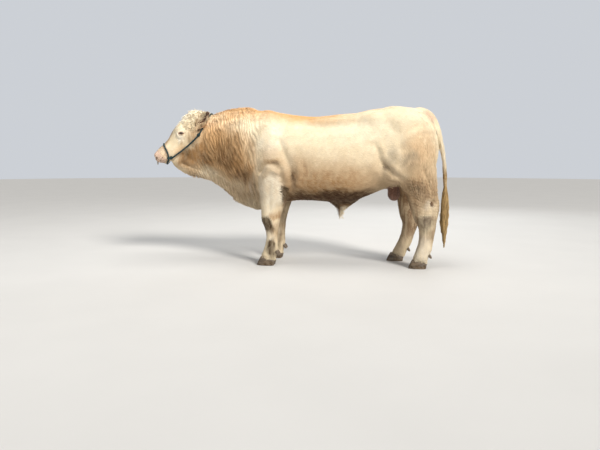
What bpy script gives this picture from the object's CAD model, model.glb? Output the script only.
"""Looks of the life-size Charolais bull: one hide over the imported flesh, its coat, curls and long hair,
eyes, hooves, rope halter and nose ring.

Units are metres, +Z is up, the bull faces -X and its left side is -Y.
"""

import math
import random

import bmesh
import bpy
import numpy as np
from bpy.props import FloatProperty, FloatVectorProperty, IntProperty, PointerProperty
from mathutils import Matrix, Vector, noise
from mathutils.bvhtree import BVHTree


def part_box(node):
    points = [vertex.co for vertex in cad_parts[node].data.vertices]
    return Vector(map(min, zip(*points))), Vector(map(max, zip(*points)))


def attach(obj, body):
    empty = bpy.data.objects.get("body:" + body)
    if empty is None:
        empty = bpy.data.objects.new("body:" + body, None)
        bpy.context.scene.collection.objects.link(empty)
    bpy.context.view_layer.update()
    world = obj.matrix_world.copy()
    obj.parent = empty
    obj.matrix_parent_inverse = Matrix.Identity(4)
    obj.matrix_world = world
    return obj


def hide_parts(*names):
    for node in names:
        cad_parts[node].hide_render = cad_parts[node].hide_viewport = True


bl_info = {
    "name": "Charolais Bull",
    "version": (1, 0, 0),
    "blender": (4, 5, 0),
    "location": "View3D > Sidebar > Bull",
    "description": "Builds the hide, coat, halter and stage of a life-size bull around its packed solids",
    "category": "Object",
}

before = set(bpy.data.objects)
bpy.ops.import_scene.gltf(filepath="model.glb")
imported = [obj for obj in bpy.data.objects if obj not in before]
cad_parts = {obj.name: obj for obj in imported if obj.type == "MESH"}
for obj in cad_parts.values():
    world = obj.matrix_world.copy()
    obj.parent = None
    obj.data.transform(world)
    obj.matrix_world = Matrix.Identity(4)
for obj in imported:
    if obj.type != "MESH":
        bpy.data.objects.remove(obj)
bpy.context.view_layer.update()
WELD = 0.00002  # points nearer to each other than this are one point

# Head, in its own frame: x runs down the face from the poll, y is the bull's left, z stands out from the face
FACE_ANGLE = 50.0  # below level
HEAD_TURN = 15.0  # towards the bull's left
EYE_DOWN = 0.222
EYE_FRONT = -0.070
# Distance down the face, face line, jaw line, half width, squareness, wider at the face (+) or jaw (-)
SKULL = [
    (-0.088, -0.122, -0.190, 0.040, 2.0, 0.0),
    (-0.060, -0.078, -0.200, 0.072, 2.2, 0.0),
    (-0.015, -0.022, -0.200, 0.098, 2.3, 0.0),
    (0.045, 0.004, -0.238, 0.120, 2.5, 0.04),
    (0.110, 0.014, -0.266, 0.130, 2.5, 0.08),
    (0.175, 0.020, -0.276, 0.131, 2.5, 0.10),
    (0.235, 0.022, -0.262, 0.121, 2.5, 0.10),
    (0.290, 0.012, -0.234, 0.104, 2.4, 0.04),
    (0.350, 0.003, -0.203, 0.088, 2.3, -0.04),
    (0.405, 0.001, -0.176, 0.081, 2.3, -0.06),
    (0.455, 0.006, -0.154, 0.083, 2.4, 0.00),
    (0.500, 0.010, -0.135, 0.087, 2.4, 0.04),
    (0.530, 0.000, -0.112, 0.082, 2.3, 0.06),
    (0.553, -0.020, -0.086, 0.064, 2.2, 0.04),
    (0.566, -0.038, -0.066, 0.040, 2.0, 0.0),
]
# Bulges of the head: centre (down, out from the middle plane, from the face), radii
FACE_FORMS = [
    ((0.150, 0.074, -0.178), (0.115, 0.062, 0.090)),
    ((0.220, 0.094, -0.070), (0.064, 0.042, 0.050)),
    ((0.200, 0.086, -0.026), (0.060, 0.044, 0.034)),
    ((0.518, 0.046, -0.020), (0.034, 0.036, 0.030)),
    ((0.508, 0.040, -0.066), (0.045, 0.048, 0.038)),
    ((0.490, 0.0, -0.112), (0.046, 0.050, 0.026)),
    ((0.085, 0.0, -0.060), (0.120, 0.092, 0.075)),
]
EYE_RADIUS = 0.0235
SLIT = (0.0215, 0.0112, 0.0088)  # half length, rise of the upper lid, fall of the lower lid
SLIT_ANGLE = 48.0
LID = 0.0026  # how far the lids stand off the eyeball
NOSTRIL = (0.541, 0.044, -0.030)
MOUTH_LINE = -0.090
EAR_LENGTH = 0.218
EAR_HALF_WIDTH = 0.056
EAR_ROOT = (0.085, 0.110, -0.166)
EAR_WAY = (-0.828, 0.552, 0.093)
EAR_OPENING = (0.375, 0.690, 0.600)
EAR_HOLLOW = (0.058, 0.142, -0.162)  # where the hide makes room for the ear's cup
EAR_WALL = 0.0055
HEAD_SIDES = {"left": 1.0, "right": -1.0}
BESIDE = 0.08  # what is further than this from the head's middle plane is on its side
KNOT_SHARE = 0.262  # how far along the headstall, from the bull's left, its knot lies
RING_WIRE = 0.0036  # radius of the nose ring's wire
ROPE_STEP = 0.0035  # along the rope, from one ring of its strands' points to the next
STRAND_SIDES = 8
KNOT_ROOM = 0.0030  # how much wider than the rope the turns of a knot are
# Voxel, turns of easing, spacing and height of the growth rings
HOOF_FORM = {"claw": (0.0036, 8, 0.0125, 0.0008), "dew": (0.0026, 5, 0.009, 0.0005)}

# The tail's middle line, from its head down into the switch
TAIL_LINE = [
    (1.01, 1.366), (1.06, 1.383), (1.11, 1.374), (1.16, 1.344), (1.21, 1.285), (1.247, 1.201),
    (1.27, 1.114), (1.29, 1.026), (1.306, 0.928), (1.315, 0.819), (1.320, 0.720),
]
LEG_OUT = 0.09  # what hangs low and is further than this from the middle plane is a leg
SHEATH_TIP = (0.392, 0.0, 0.515)
SHEATH_HANG = 0.380  # where its hair hangs longest
# Hairs on a square metre: of the sheath's tip, and of the ear's cup, its rim besides and its back
SHEATH_COVER = 9000.0
EAR_COVER = (6500, 43000, 42000.0)
LASHES = (42, 22)  # of an upper and of a lower lid

FLESH = ["head", "neck", "torso", "sheath", "scrotum", "tail"]
FLESH += [
    f"{part}_{end}_{side}"
    for part in ("upper_leg", "shank") for end in ("fore", "hind") for side in HEAD_SIDES
]
SWELL = 0.0012  # how far the flesh grows before it is fused into one hide
HIDE_GRAIN = 0.0138  # voxel of that fusing
HEAD_GRAIN = 0.0045

# Folds and the hollows between muscles, seen from the side: points (x, z), depth, width.
# A negative depth is a ridge
FOLDS = [
    ([(-0.300, 0.850), (-0.265, 0.900), (-0.215, 0.920), (-0.160, 0.905), (-0.120, 0.870)], 0.0180, 0.024),
    ([(-0.200, 0.900), (-0.150, 0.850), (-0.120, 0.800)], 0.0100, 0.018),
    ([(-0.285, 0.820), (-0.250, 0.860), (-0.205, 0.868), (-0.165, 0.840)], -0.0090, 0.020),
    ([(-0.110, 0.880), (-0.080, 0.840), (-0.070, 0.790)], -0.0100, 0.024),
    ([(-0.150, 1.120), (-0.105, 1.033), (-0.060, 0.930), (-0.030, 0.850), (-0.020, 0.790)], 0.0160, 0.030),
    ([(-0.020, 0.800), (-0.027, 0.739), (-0.060, 0.660)], 0.0200, 0.026),
    ([(0.030, 0.930), (0.045, 0.840), (0.030, 0.740)], -0.0060, 0.020),
    ([(0.072, 0.960), (0.085, 0.850), (0.070, 0.740)], 0.0045, 0.012),
    ([(0.110, 0.940), (0.122, 0.840), (0.110, 0.750)], 0.0040, 0.011),
    ([(0.150, 0.920), (0.160, 0.830), (0.150, 0.760)], 0.0030, 0.011),
    ([(0.690, 1.075), (0.713, 1.031), (0.740, 0.960), (0.790, 0.896), (0.867, 0.820), (0.940, 0.770)],
     0.0170, 0.026),
    ([(0.735, 1.060), (0.760, 0.990), (0.810, 0.920), (0.880, 0.860)], -0.0080, 0.026),
    ([(0.640, 0.930), (0.700, 0.850), (0.780, 0.790), (0.860, 0.740)], -0.0070, 0.035),
    ([(-0.120, 1.330), (-0.115, 1.200), (-0.125, 1.100)], 0.0060, 0.040),
    ([(-0.380, 1.280), (-0.410, 1.180), (-0.440, 1.060), (-0.455, 0.920), (-0.440, 0.800)], 0.0070, 0.034),
    ([(-0.590, 0.800), (-0.540, 0.735), (-0.500, 0.660), (-0.470, 0.600)], 0.0140, 0.018),
    ([(-0.470, 0.830), (-0.455, 0.740), (-0.440, 0.640), (-0.430, 0.560)], 0.0150, 0.014),
    ([(-0.395, 0.840), (-0.394, 0.725), (-0.385, 0.620), (-0.380, 0.540)], 0.0130, 0.014),
    ([(-0.340, 0.800), (-0.335, 0.700), (-0.330, 0.620)], 0.0100, 0.014),
    ([(-1.080, 0.915), (-0.980, 0.880), (-0.860, 0.855), (-0.740, 0.800), (-0.640, 0.720)], 0.0120, 0.020),
    ([(-0.880, 1.230), (-0.845, 1.130), (-0.850, 1.040), (-0.890, 0.970)], 0.0080, 0.024),
    ([(-0.640, 1.300), (-0.615, 1.160), (-0.620, 1.020), (-0.650, 0.900)], 0.0045, 0.026),
    ([(-0.745, 1.280), (-0.715, 1.150), (-0.720, 1.020), (-0.750, 0.920)], 0.0045, 0.022),
    ([(-0.540, 1.280), (-0.520, 1.130), (-0.530, 0.980)], 0.0045, 0.024),
    ([(1.110, 0.860), (1.150, 0.760), (1.185, 0.660), (1.200, 0.600)], 0.0120, 0.020),
    ([(1.020, 0.640), (1.080, 0.590), (1.110, 0.540)], 0.0060, 0.018),
    ([(1.060, 0.590), (1.110, 0.560), (1.150, 0.520)], -0.0050, 0.014),
    ([(0.800, 1.250), (0.870, 1.150), (0.900, 1.040)], 0.0050, 0.036),
    ([(1.075, 1.348), (1.135, 1.300), (1.170, 1.253), (1.205, 1.200), (1.232, 1.135), (1.250, 1.060)],
     0.0150, 0.016),
    ([(-0.205, 0.345), (-0.212, 0.280), (-0.215, 0.220)], 0.0050, 0.012),
    ([(1.165, 0.400), (1.165, 0.320), (1.155, 0.240)], 0.0060, 0.012),
    ([(0.300, 1.320), (0.500, 1.330), (0.650, 1.340)], -0.0040, 0.040),
    ([(0.960, 1.040), (0.985, 0.940), (0.975, 0.840)], 0.0050, 0.030),
    ([(-0.230, 0.760), (-0.235, 0.640), (-0.225, 0.520)], 0.0050, 0.016),
    ([(-0.190, 0.700), (-0.195, 0.600), (-0.200, 0.500)], -0.0040, 0.016),
]
# The same down the side of the head, in its own frame (down the face, from the face)
FACE_FOLDS = [
    ([(0.270, -0.104), (0.330, -0.100), (0.400, -0.092)], -0.0035, 0.013),
    ([(0.080, -0.120), (0.150, -0.112), (0.215, -0.128), (0.262, -0.170), (0.250, -0.225)],
     0.0045, 0.013),
    ([(0.175, -0.030), (0.215, -0.028), (0.255, -0.045)], -0.0030, 0.010),
    ([(0.255, -0.118), (0.275, -0.092), (0.300, -0.080)], 0.0030, 0.009),
    ([(0.440, -0.040), (0.470, -0.060), (0.480, -0.090)], 0.0030, 0.009),
]
# The pit above the hock's tendon, and the raised hide round it: radius and width
HOCK_PIT = (1.196, 0.583)
HOCK_PIT_SIZE = 0.020
HOCK_RING = (0.042, 0.014)


def linear(*screen):
    """A colour given in screen values from 0 to 255, as the linear one that a shader takes."""
    return tuple(((v / 255 + 0.055) / 1.055) ** 2.4 if v > 10 else v / 255 / 12.92 for v in screen)


def tint(name, description, *screen):
    return FloatVectorProperty(
        name=name, description=description, subtype="COLOR", size=3, min=0.0, max=1.0,
        default=linear(*screen)
    )


def length(name, description, value):
    return FloatProperty(
        name=name, description=description, default=value, min=0.0, unit="LENGTH", precision=4
    )


def angle(name, description, degrees):
    return FloatProperty(
        name=name, description=description, default=math.radians(degrees), subtype="ANGLE"
    )


def number(name, description, value, least=100):
    return IntProperty(name=name, description=description, default=value, min=least)


class BullCoat(bpy.types.PropertyGroup):
    """Lengths, widths and closeness of the hair."""

    body_length: length("Body Hair", "Length of a tuft on the barrel", 0.027)
    neck_length: length("Neck Hair", "Length of a tuft on the neck and shoulder", 0.046)
    leg_length: length("Leg Hair", "Length of a tuft on the legs", 0.018)
    face_length: length("Face Hair", "Length of a tuft on the face", 0.011)
    fringe_length: length("Fringe", "Length of the hair under the belly, brisket and thighs", 0.042)
    body_cover: number("Body Cover", "Tufts on a square metre of the barrel", 13000)
    neck_cover: number("Neck Cover", "Tufts on a square metre of the neck", 22000)
    leg_cover: number("Leg Cover", "Tufts on a square metre of the legs", 20000)
    face_cover: number("Face Cover", "Tufts on a square metre of the face", 36000)
    tail_cover: number("Tail Cover", "Tufts on a square metre of the tail", 16000)
    curl_radius: length("Curl", "Radius of a curl on the poll and forehead", 0.0105)
    curls: number("Curls", "Curls on the poll and forehead", 3400, 10)
    switch_locks: number("Switch Locks", "Locks in the tail's switch", 560, 10)


class BullColours(bpy.types.PropertyGroup):
    """Colours of the coat, the bare hide and what the bull wears."""

    cream: tint("Cream", "Most of the coat", 243, 226, 192)
    white: tint("White", "Shoulder, forelegs, face and feet", 249, 239, 217)
    gold: tint("Gold", "Along the back and the crest", 224, 168, 100)
    tan: tint("Tan", "Lower neck, flank and belly", 170, 129, 82)
    umber: tint("Umber", "Deep shade between the strands", 78, 50, 25)
    mud: tint("Mud", "Dried mud on the legs", 70, 52, 30)
    grey: tint("Grey", "Rubbed dirt on the thigh and shank", 142, 128, 108)
    hide: tint("Hide", "Bare skin round the eyes and under the tail", 186, 136, 112)
    muzzle: tint("Muzzle", "Bare skin of the nose", 212, 182, 158)
    switch: tint("Switch", "Long hair of the tail", 188, 156, 102)
    horn: tint("Horn", "Hooves and dewclaws", 122, 104, 82)
    iris: tint("Iris", "The eye's brown", 46, 26, 14)
    rope: tint("Rope", "The halter", 30, 62, 66)
    steel: tint("Steel", "The nose ring", 190, 186, 178)


class BullHalter(bpy.types.PropertyGroup):
    """Sizes of the halter's rope."""

    strand: length("Strand", "Radius of one of the rope's three strands", 0.0042)
    spread: length("Spread", "Distance of each strand from the rope's middle", 0.0040)
    twist: length("Twist", "Length in which the strands turn once round", 0.046)


class BullStage(bpy.types.PropertyGroup):
    """Camera, light and floor."""

    distance: length("Distance", "From the camera to the bull's middle", 5.20)
    height: length("Height", "Camera above the floor", 0.93)
    azimuth: angle("Azimuth", "Turn of the camera behind the bull's side", 8)
    pitch: angle("Pitch", "Camera below level", 6.42)
    lens: FloatProperty(
        name="Lens", description="Focal length on a 36 mm sensor, in millimetres", default=33.6, min=1.0
    )
    floor: tint("Floor", "The pale studio floor", 212, 210, 206)
    backdrop: tint("Backdrop", "The light all round", 214, 218, 224)


# Working helpers for meshes

def only_nothing():
    """Leaves nothing selected or active, so that an operator acts only on what it adds."""
    if bpy.context.object and bpy.context.object.mode != "OBJECT":
        bpy.ops.object.mode_set(mode="OBJECT")
    bpy.ops.object.select_all(action="DESELECT")
    bpy.context.view_layer.objects.active = None


def only(obj):
    """Leaves nothing selected and active but this object."""
    only_nothing()
    obj.hide_viewport = False
    obj.select_set(True)
    bpy.context.view_layer.objects.active = obj


def apply_modifier(obj, name, kind, **values):
    modifier = obj.modifiers.new(name, kind)
    for key, value in values.items():
        setattr(modifier, key, value)
    only(obj)
    bpy.ops.object.modifier_apply(modifier=name)


def link(name, mesh):
    obj = bpy.data.objects.new(name, mesh)
    bpy.context.scene.collection.objects.link(obj)
    return obj


def from_bmesh(name, bm):
    mesh = bpy.data.meshes.new(name)
    bm.to_mesh(mesh)
    bm.free()
    return link(name, mesh)


def welded(node):
    """A copy of a solid's mesh with its doubles merged."""
    bm = bmesh.new()
    bm.from_mesh(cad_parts[node].data)
    bmesh.ops.remove_doubles(bm, verts=bm.verts[:], dist=WELD)
    return bm


def move_points(mesh, points):
    mesh.vertices.foreach_set("co", np.ascontiguousarray(points, np.float32).ravel())
    mesh.update()


def smooth_faces(mesh):
    mesh.polygons.foreach_set("use_smooth", np.ones(len(mesh.polygons), bool))


def mark_points(mesh, marks):
    """Stores a value or a colour at each point, for the finish to read."""
    for key, values in marks.items():
        if np.ndim(values) == 2:
            values = np.hstack([values, np.ones((len(values), 1))]).astype(np.float32)
            mesh.attributes.new(key, "FLOAT_COLOR", "POINT").data.foreach_set("color", values.ravel())
        else:
            values = np.asarray(values, np.float32)
            mesh.attributes.new(key, "FLOAT", "POINT").data.foreach_set("value", values)


def from_arrays(name, points, triangles, marks=None, patch=None, normals=None):
    """A mesh from arrays of points and triangles, with values at the points, a patch map and soft normals."""
    mesh = bpy.data.meshes.new(name)
    count = len(triangles)
    mesh.vertices.add(len(points))
    mesh.vertices.foreach_set("co", np.ascontiguousarray(points, np.float32).ravel())
    mesh.loops.add(count * 3)
    mesh.loops.foreach_set("vertex_index", np.ascontiguousarray(triangles, np.int32).ravel())
    mesh.polygons.add(count)
    mesh.polygons.foreach_set("loop_start", np.arange(0, count * 3, 3, dtype=np.int32))
    mesh.update(calc_edges=True)
    smooth_faces(mesh)
    mark_points(mesh, marks or {})
    if patch is not None:
        layer = mesh.uv_layers.new(name="OFBake")
        layer.uv.foreach_set("vector", np.ascontiguousarray(patch[triangles.ravel()], np.float32).ravel())
    if normals is not None:
        mesh.normals_split_custom_set(normals.tolist())
    return link(name, mesh)


def finish(obj, finish_name, nodes=()):
    """Gives a piece its finish and its body, and names the solids that it stands for."""
    name, make = FINISHES[finish_name]
    obj.data.materials.clear()
    obj.data.materials.append(bpy.data.materials.get(name) or make(name))
    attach(obj, "root")
    if nodes:
        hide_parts(*nodes)
    return obj


def vertex_array(mesh, what="co"):
    values = np.empty(len(mesh.vertices) * 3, np.float32)
    if what == "co":
        mesh.vertices.foreach_get("co", values)
    else:
        mesh.vertex_normals.foreach_get("vector", values)
    return values.reshape(-1, 3).astype(float)


def smoothstep(low, high, value):
    share = np.clip((value - low) / (high - low), 0.0, 1.0)
    return share * share * (3 - 2 * share)


def fade(distance, width):
    """1 where the distance is nothing, less further off, and next to nothing past twice the width."""
    return np.exp(-((distance / width) ** 2))


def ripple(points, size, seed):
    """Soft noise between about -1 and 1 with waves of a size, one value at each point."""
    rng = np.random.default_rng(seed)
    total = np.zeros(len(points))
    for _ in range(6):
        way = rng.normal(size=3)
        way *= 2 * math.pi / size * rng.uniform(0.6, 1.5) / np.linalg.norm(way)
        total += np.sin(points @ way + rng.uniform(0, 2 * math.pi))
    return total / 3.2


def unit(vectors):
    return vectors / np.maximum(np.linalg.norm(vectors, axis=1, keepdims=True), 1e-9)


def laid_flat(way, normals):
    """Directions turned so that they run along the surface."""
    return unit(way - normals * np.sum(way * normals, axis=1, keepdims=True))


def run_along(line):
    """How far along a line each of its points lies."""
    return np.concatenate([[0], np.cumsum(np.linalg.norm(np.diff(line, axis=0), axis=1))])


def line_distance(points, line):
    """Distance of points in a plane from a line through given ones."""
    line = np.array(line, float)
    best = np.full(len(points), 9.0)
    for start, end in zip(line, line[1:]):
        way = end - start
        share = np.clip(((points - start) @ way) / (way @ way), 0, 1)
        best = np.minimum(best, np.linalg.norm(points - start - share[:, None] * way, axis=1))
    return best


def smooth_rows(rows, per_span):
    """The rows, with more between them on a curve that passes through each."""
    rows = np.array(rows, float)
    made = []
    for i in range(len(rows) - 1):
        p, q, r, s = rows[max(i - 1, 0)], rows[i], rows[i + 1], rows[min(i + 2, len(rows) - 1)]
        for t in np.arange(per_span) / per_span:
            square, cube = 2 * p - 5 * q + 4 * r - s, 3 * q - p - 3 * r + s
            made.append(0.5 * (2 * q + (r - p) * t + square * t**2 + cube * t**3))
    made.append(rows[-1])
    return np.array(made)


# The head's own frame

def head_matrix():
    """Carries the head's frame into place, set by where the solids' eyes are."""
    angle = math.radians(FACE_ANGLE)
    down = Vector((-math.cos(angle), 0, -math.sin(angle)))
    front = Vector((-math.sin(angle), 0, math.cos(angle)))
    turn = Matrix.Rotation(math.radians(HEAD_TURN), 3, "Z")
    axes = Matrix([turn @ down, turn @ front.cross(down), turn @ front]).transposed()
    eyes = [sum(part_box(f"eye_{side}"), Vector()) / 2 for side in HEAD_SIDES]
    origin = (eyes[0] + eyes[1]) / 2 - axes @ Vector((EYE_DOWN, 0, EYE_FRONT))
    return Matrix.Translation(origin) @ axes.to_4x4()


HEAD = head_matrix()
HEAD_AXES = np.array(HEAD.to_3x3())
HEAD_ORIGIN = np.array(HEAD.translation)
EYE_OUT = abs((HEAD.inverted() @ (sum(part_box("eye_left"), Vector()) / 2)).y)


def to_head(points):
    return (points - HEAD_ORIGIN) @ HEAD_AXES


def from_head(points):
    return points @ HEAD_AXES.T + HEAD_ORIGIN


def skull_forms(bm):
    """Adds the head's smooth forms, a loft through the skull's ribs and its bulges."""
    rows = smooth_rows(SKULL, 3)
    count = 40
    angles = np.arange(count) * 2 * math.pi / count
    rings = []
    for down, top, low, half, power, lean in rows:
        across = np.sign(np.cos(angles)) * np.abs(np.cos(angles)) ** (2 / power)
        along = np.sign(np.sin(angles)) * np.abs(np.sin(angles)) ** (2 / power)
        out, front = half * across * (1 + lean * along), (top + low) / 2 + (top - low) / 2 * along
        ring = np.stack([np.full(count, down), out, front], axis=1)
        rings.append([bm.verts.new(HEAD @ Vector(point)) for point in ring])
    for ring, following in zip(rings, rings[1:]):
        for k in range(count):
            bm.faces.new((ring[k], ring[(k + 1) % count], following[(k + 1) % count], following[k]))
    bm.faces.new(rings[0])
    bm.faces.new(rings[-1])
    for (down, out, front), radii in FACE_FORMS:
        for side in ((1, -1) if out else (1,)):
            place = HEAD @ Matrix.Translation((down, out * side, front)) @ Matrix.Diagonal((*radii, 1))
            bmesh.ops.create_uvsphere(bm, u_segments=28, v_segments=16, radius=1.0, matrix=place)
    bmesh.ops.recalc_face_normals(bm, faces=bm.faces[:])


def keep_largest(bm):
    left, best = set(bm.verts), set()
    while left:
        island, edge = set(), [left.pop()]
        while edge:
            vert = edge.pop()
            island.add(vert)
            for joined in vert.link_edges:
                other = joined.other_vert(vert)
                if other in left:
                    left.remove(other)
                    edge.append(other)
        if len(island) > len(best):
            best = island
    bmesh.ops.delete(bm, geom=[v for v in bm.verts if v not in best], context="VERTS")


def head_tree():
    """The finely made head alone, as a surface to lay the hide on."""
    bm = bmesh.new()
    skull_forms(bm)
    obj = from_bmesh("head_form", bm)
    apply_modifier(obj, "fuse", "REMESH", mode="VOXEL", voxel_size=HEAD_GRAIN)
    apply_modifier(obj, "ease", "SMOOTH", factor=0.5, iterations=8)
    bm = bmesh.new()
    bm.from_mesh(obj.data)
    keep_largest(bm)
    tree = BVHTree.FromBMesh(bm)
    bm.free()
    bpy.data.objects.remove(obj)
    return tree


def ease_mesh(mesh, turns, strength, weights=None):
    """Smooths without shrinking: each turn eases in and a little back out."""
    edges = np.empty(len(mesh.edges) * 2, np.int32)
    mesh.edges.foreach_get("vertices", edges)
    a, b = edges.reshape(-1, 2).T
    points = vertex_array(mesh)
    count = np.bincount(a, minlength=len(points)) + np.bincount(b, minlength=len(points))
    for _ in range(turns):
        for factor in (strength, -strength * 1.03):
            total = np.zeros_like(points)
            for axis in range(3):
                total[:, axis] = np.bincount(a, points[b, axis], len(points))
                total[:, axis] += np.bincount(b, points[a, axis], len(points))
            step = (total / count[:, None] - points) * factor
            points += step if weights is None else step * weights[:, None]
    move_points(mesh, points)


def refine(obj, near, cuts):
    """Cuts the faces near the head, or near a part of it, into smaller ones."""
    bm = bmesh.new()
    bm.from_mesh(obj.data)
    inside = near(np.array([v.co for v in bm.verts]))
    edges = [e for e in bm.edges if inside[e.verts[0].index] and inside[e.verts[1].index]]
    bmesh.ops.subdivide_edges(bm, edges=edges, cuts=cuts, use_grid_fill=True)
    bmesh.ops.triangulate(bm, faces=[f for f in bm.faces if len(f.verts) > 4])
    bm.to_mesh(obj.data)
    bm.free()


def lay_on_head(obj, tree):
    """Moves the hide of the head onto the finely made head, and fades out where the neck begins."""
    points = vertex_array(obj.data)
    for index, point in enumerate(points):
        place, _, _, distance = tree.find_nearest(Vector(point))
        share = 1 - min(1.0, max(0.0, (distance - 0.008) / 0.010))
        if share > 0:
            points[index] += (np.array(place) - point) * share
    move_points(obj.data, points)


def eye_reach(head):
    """How far each point lies from the nearer eye's axis, and whether it is on the head's side."""
    return np.hypot(head[:, 0] - EYE_DOWN, head[:, 2] - EYE_FRONT), np.abs(head[:, 1]) > BESIDE


def features_near(points):
    head = to_head(points)
    muzzle = (head[:, 0] > 0.44) & (np.abs(head[:, 1]) < 0.12) & (head[:, 2] > -0.15)
    reach, side = eye_reach(head)
    return (muzzle & (head[:, 0] < 0.60)) | ((reach < 0.055) & side)


def lids_near(points):
    reach, side = eye_reach(to_head(points))
    return (reach < 0.034) & side


# Where things are on the hide

def slit_distance(head):
    """How far outside the slit between the lids each point is, and its height over the slit's line."""
    angle = math.radians(SLIT_ANGLE)
    down, front = head[:, 0] - EYE_DOWN, head[:, 2] - EYE_FRONT
    along = down * math.cos(angle) + front * math.sin(angle)
    over = -down * math.sin(angle) + front * math.cos(angle)
    half, rise, fall = SLIT
    half = np.where(along > 0, half * 1.2, half)
    open_share = np.clip(1 - (along / half) ** 2, 0, 1)
    inside = np.where(over > 0, over - rise * open_share, -over - fall * open_share)
    beyond = np.hypot(np.maximum(np.abs(along) - half, 0), over)
    return np.where(np.abs(along) < half, inside, beyond), along, over


def on_head(points):
    """1 on the head and 0 on the neck and body."""
    head = to_head(points)
    back = head[:, 0] - 0.55 * np.maximum(0, -0.12 - head[:, 2])
    near = (np.abs(head[:, 1]) < 0.17) & (head[:, 2] > -0.33) & (points[:, 0] < -0.75)
    return smoothstep(-0.06, 0.0, back) * near


def on_tail(points):
    near = line_distance(points[:, [0, 2]], TAIL_LINE)
    share = smoothstep(0.052, 0.036, near) * (np.abs(points[:, 1]) < 0.046)
    return share * smoothstep(1.10, 1.20, points[:, 0])


def on_scrotum(points):
    inside = (points[:, 0] > 0.78) & (points[:, 0] < 0.95) & (np.abs(points[:, 1]) < 0.075)
    return inside * smoothstep(0.735, 0.700, points[:, 2])


def poll_share(head):
    """1 where the curls grow: poll, forehead and the temples down to before the ears."""
    edge = 0.168 - 0.35 * np.maximum(0, np.abs(head[:, 1]) - 0.085) + 0.016 * ripple(head, 0.05, 22)
    temple = smoothstep(-0.150, -0.115, head[:, 2])
    return smoothstep(edge + 0.034, edge - 0.026, head[:, 0]) * smoothstep(-0.115, -0.09, head[:, 0]) * temple


def bare_share(points, head, on):
    """1 on bare hide: the nose, the lids and the scrotum."""
    nose = smoothstep(0.482, 0.502, head[:, 0] + 0.12 * (head[:, 2] + 0.04) - 0.010 * np.cos(head[:, 1] * 60))
    nose *= smoothstep(-0.120, -0.106, head[:, 2])
    distance, along, _ = slit_distance(head)
    lids = smoothstep(0.0052, 0.0030, distance - 0.003 * (along > 0.015)) * (np.abs(head[:, 1]) > BESIDE)
    return np.maximum(np.maximum(nose, lids) * (on > 0.5), on_scrotum(points))


def coat_depth(points, head, on):
    """How far the hide lies inside the solids, for the coat to fill."""
    depth = 0.0055 + 0.0035 * smoothstep(-0.25, -0.45, points[:, 0])
    depth = np.where(points[:, 2] < 0.60, 0.0040, depth)
    depth = depth * (1 - on) + on * 0.0022
    depth += on * poll_share(head) * 0.0105
    depth *= 1 - 0.4 * on_tail(points)
    return depth * (1 - 0.85 * bare_share(points, head, on))


def sculpt_body(points, normals):
    """Presses the folds and the hollows between the muscles into the hide."""
    side = points[:, [0, 2]]
    facing = smoothstep(0.10, 0.55, np.abs(normals[:, 1]))
    push = np.zeros(len(points))
    for line, depth, width in FOLDS:
        push -= depth * fade(line_distance(side, line), width) * facing
    pit = np.linalg.norm(side - np.array(HOCK_PIT), axis=1)
    push -= 0.012 * fade(pit, HOCK_PIT_SIZE) * facing
    push += 0.005 * fade(pit - HOCK_RING[0], HOCK_RING[1]) * facing
    trunk = smoothstep(0.60, 0.75, points[:, 2])
    push += 0.0016 * ripple(points, 0.16, 5) * trunk
    front = smoothstep(-0.35, -0.50, points[:, 0])
    stretched = points * np.array([1.0, 1.0, 0.25])
    push += 0.0026 * ripple(stretched, 0.055, 6) * front * trunk
    return points + normals * push[:, None]


def mouth_height(head):
    """Where the line between the lips runs, over the head's middle line."""
    height = MOUTH_LINE - 0.016 * np.cos(math.pi * np.minimum(np.abs(head[:, 1]) / 0.08, 1.0))
    return height + 0.20 * np.maximum(0, 0.490 - head[:, 0])


def nose_hollows(head):
    """1 inside the nostrils and between the lips."""
    from_nostril = np.stack([
        head[:, 0] - NOSTRIL[0] + 0.004, np.abs(head[:, 1]) - NOSTRIL[1], head[:, 2] - NOSTRIL[2]
    ])
    reach = np.linalg.norm(from_nostril / np.array([[0.020], [0.017], [0.016]]), axis=0)
    lips = fade(head[:, 2] - mouth_height(head), 0.0030) * smoothstep(0.462, 0.478, head[:, 0])
    return np.maximum(smoothstep(1.15, 0.55, reach), 0.60 * lips)


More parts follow.
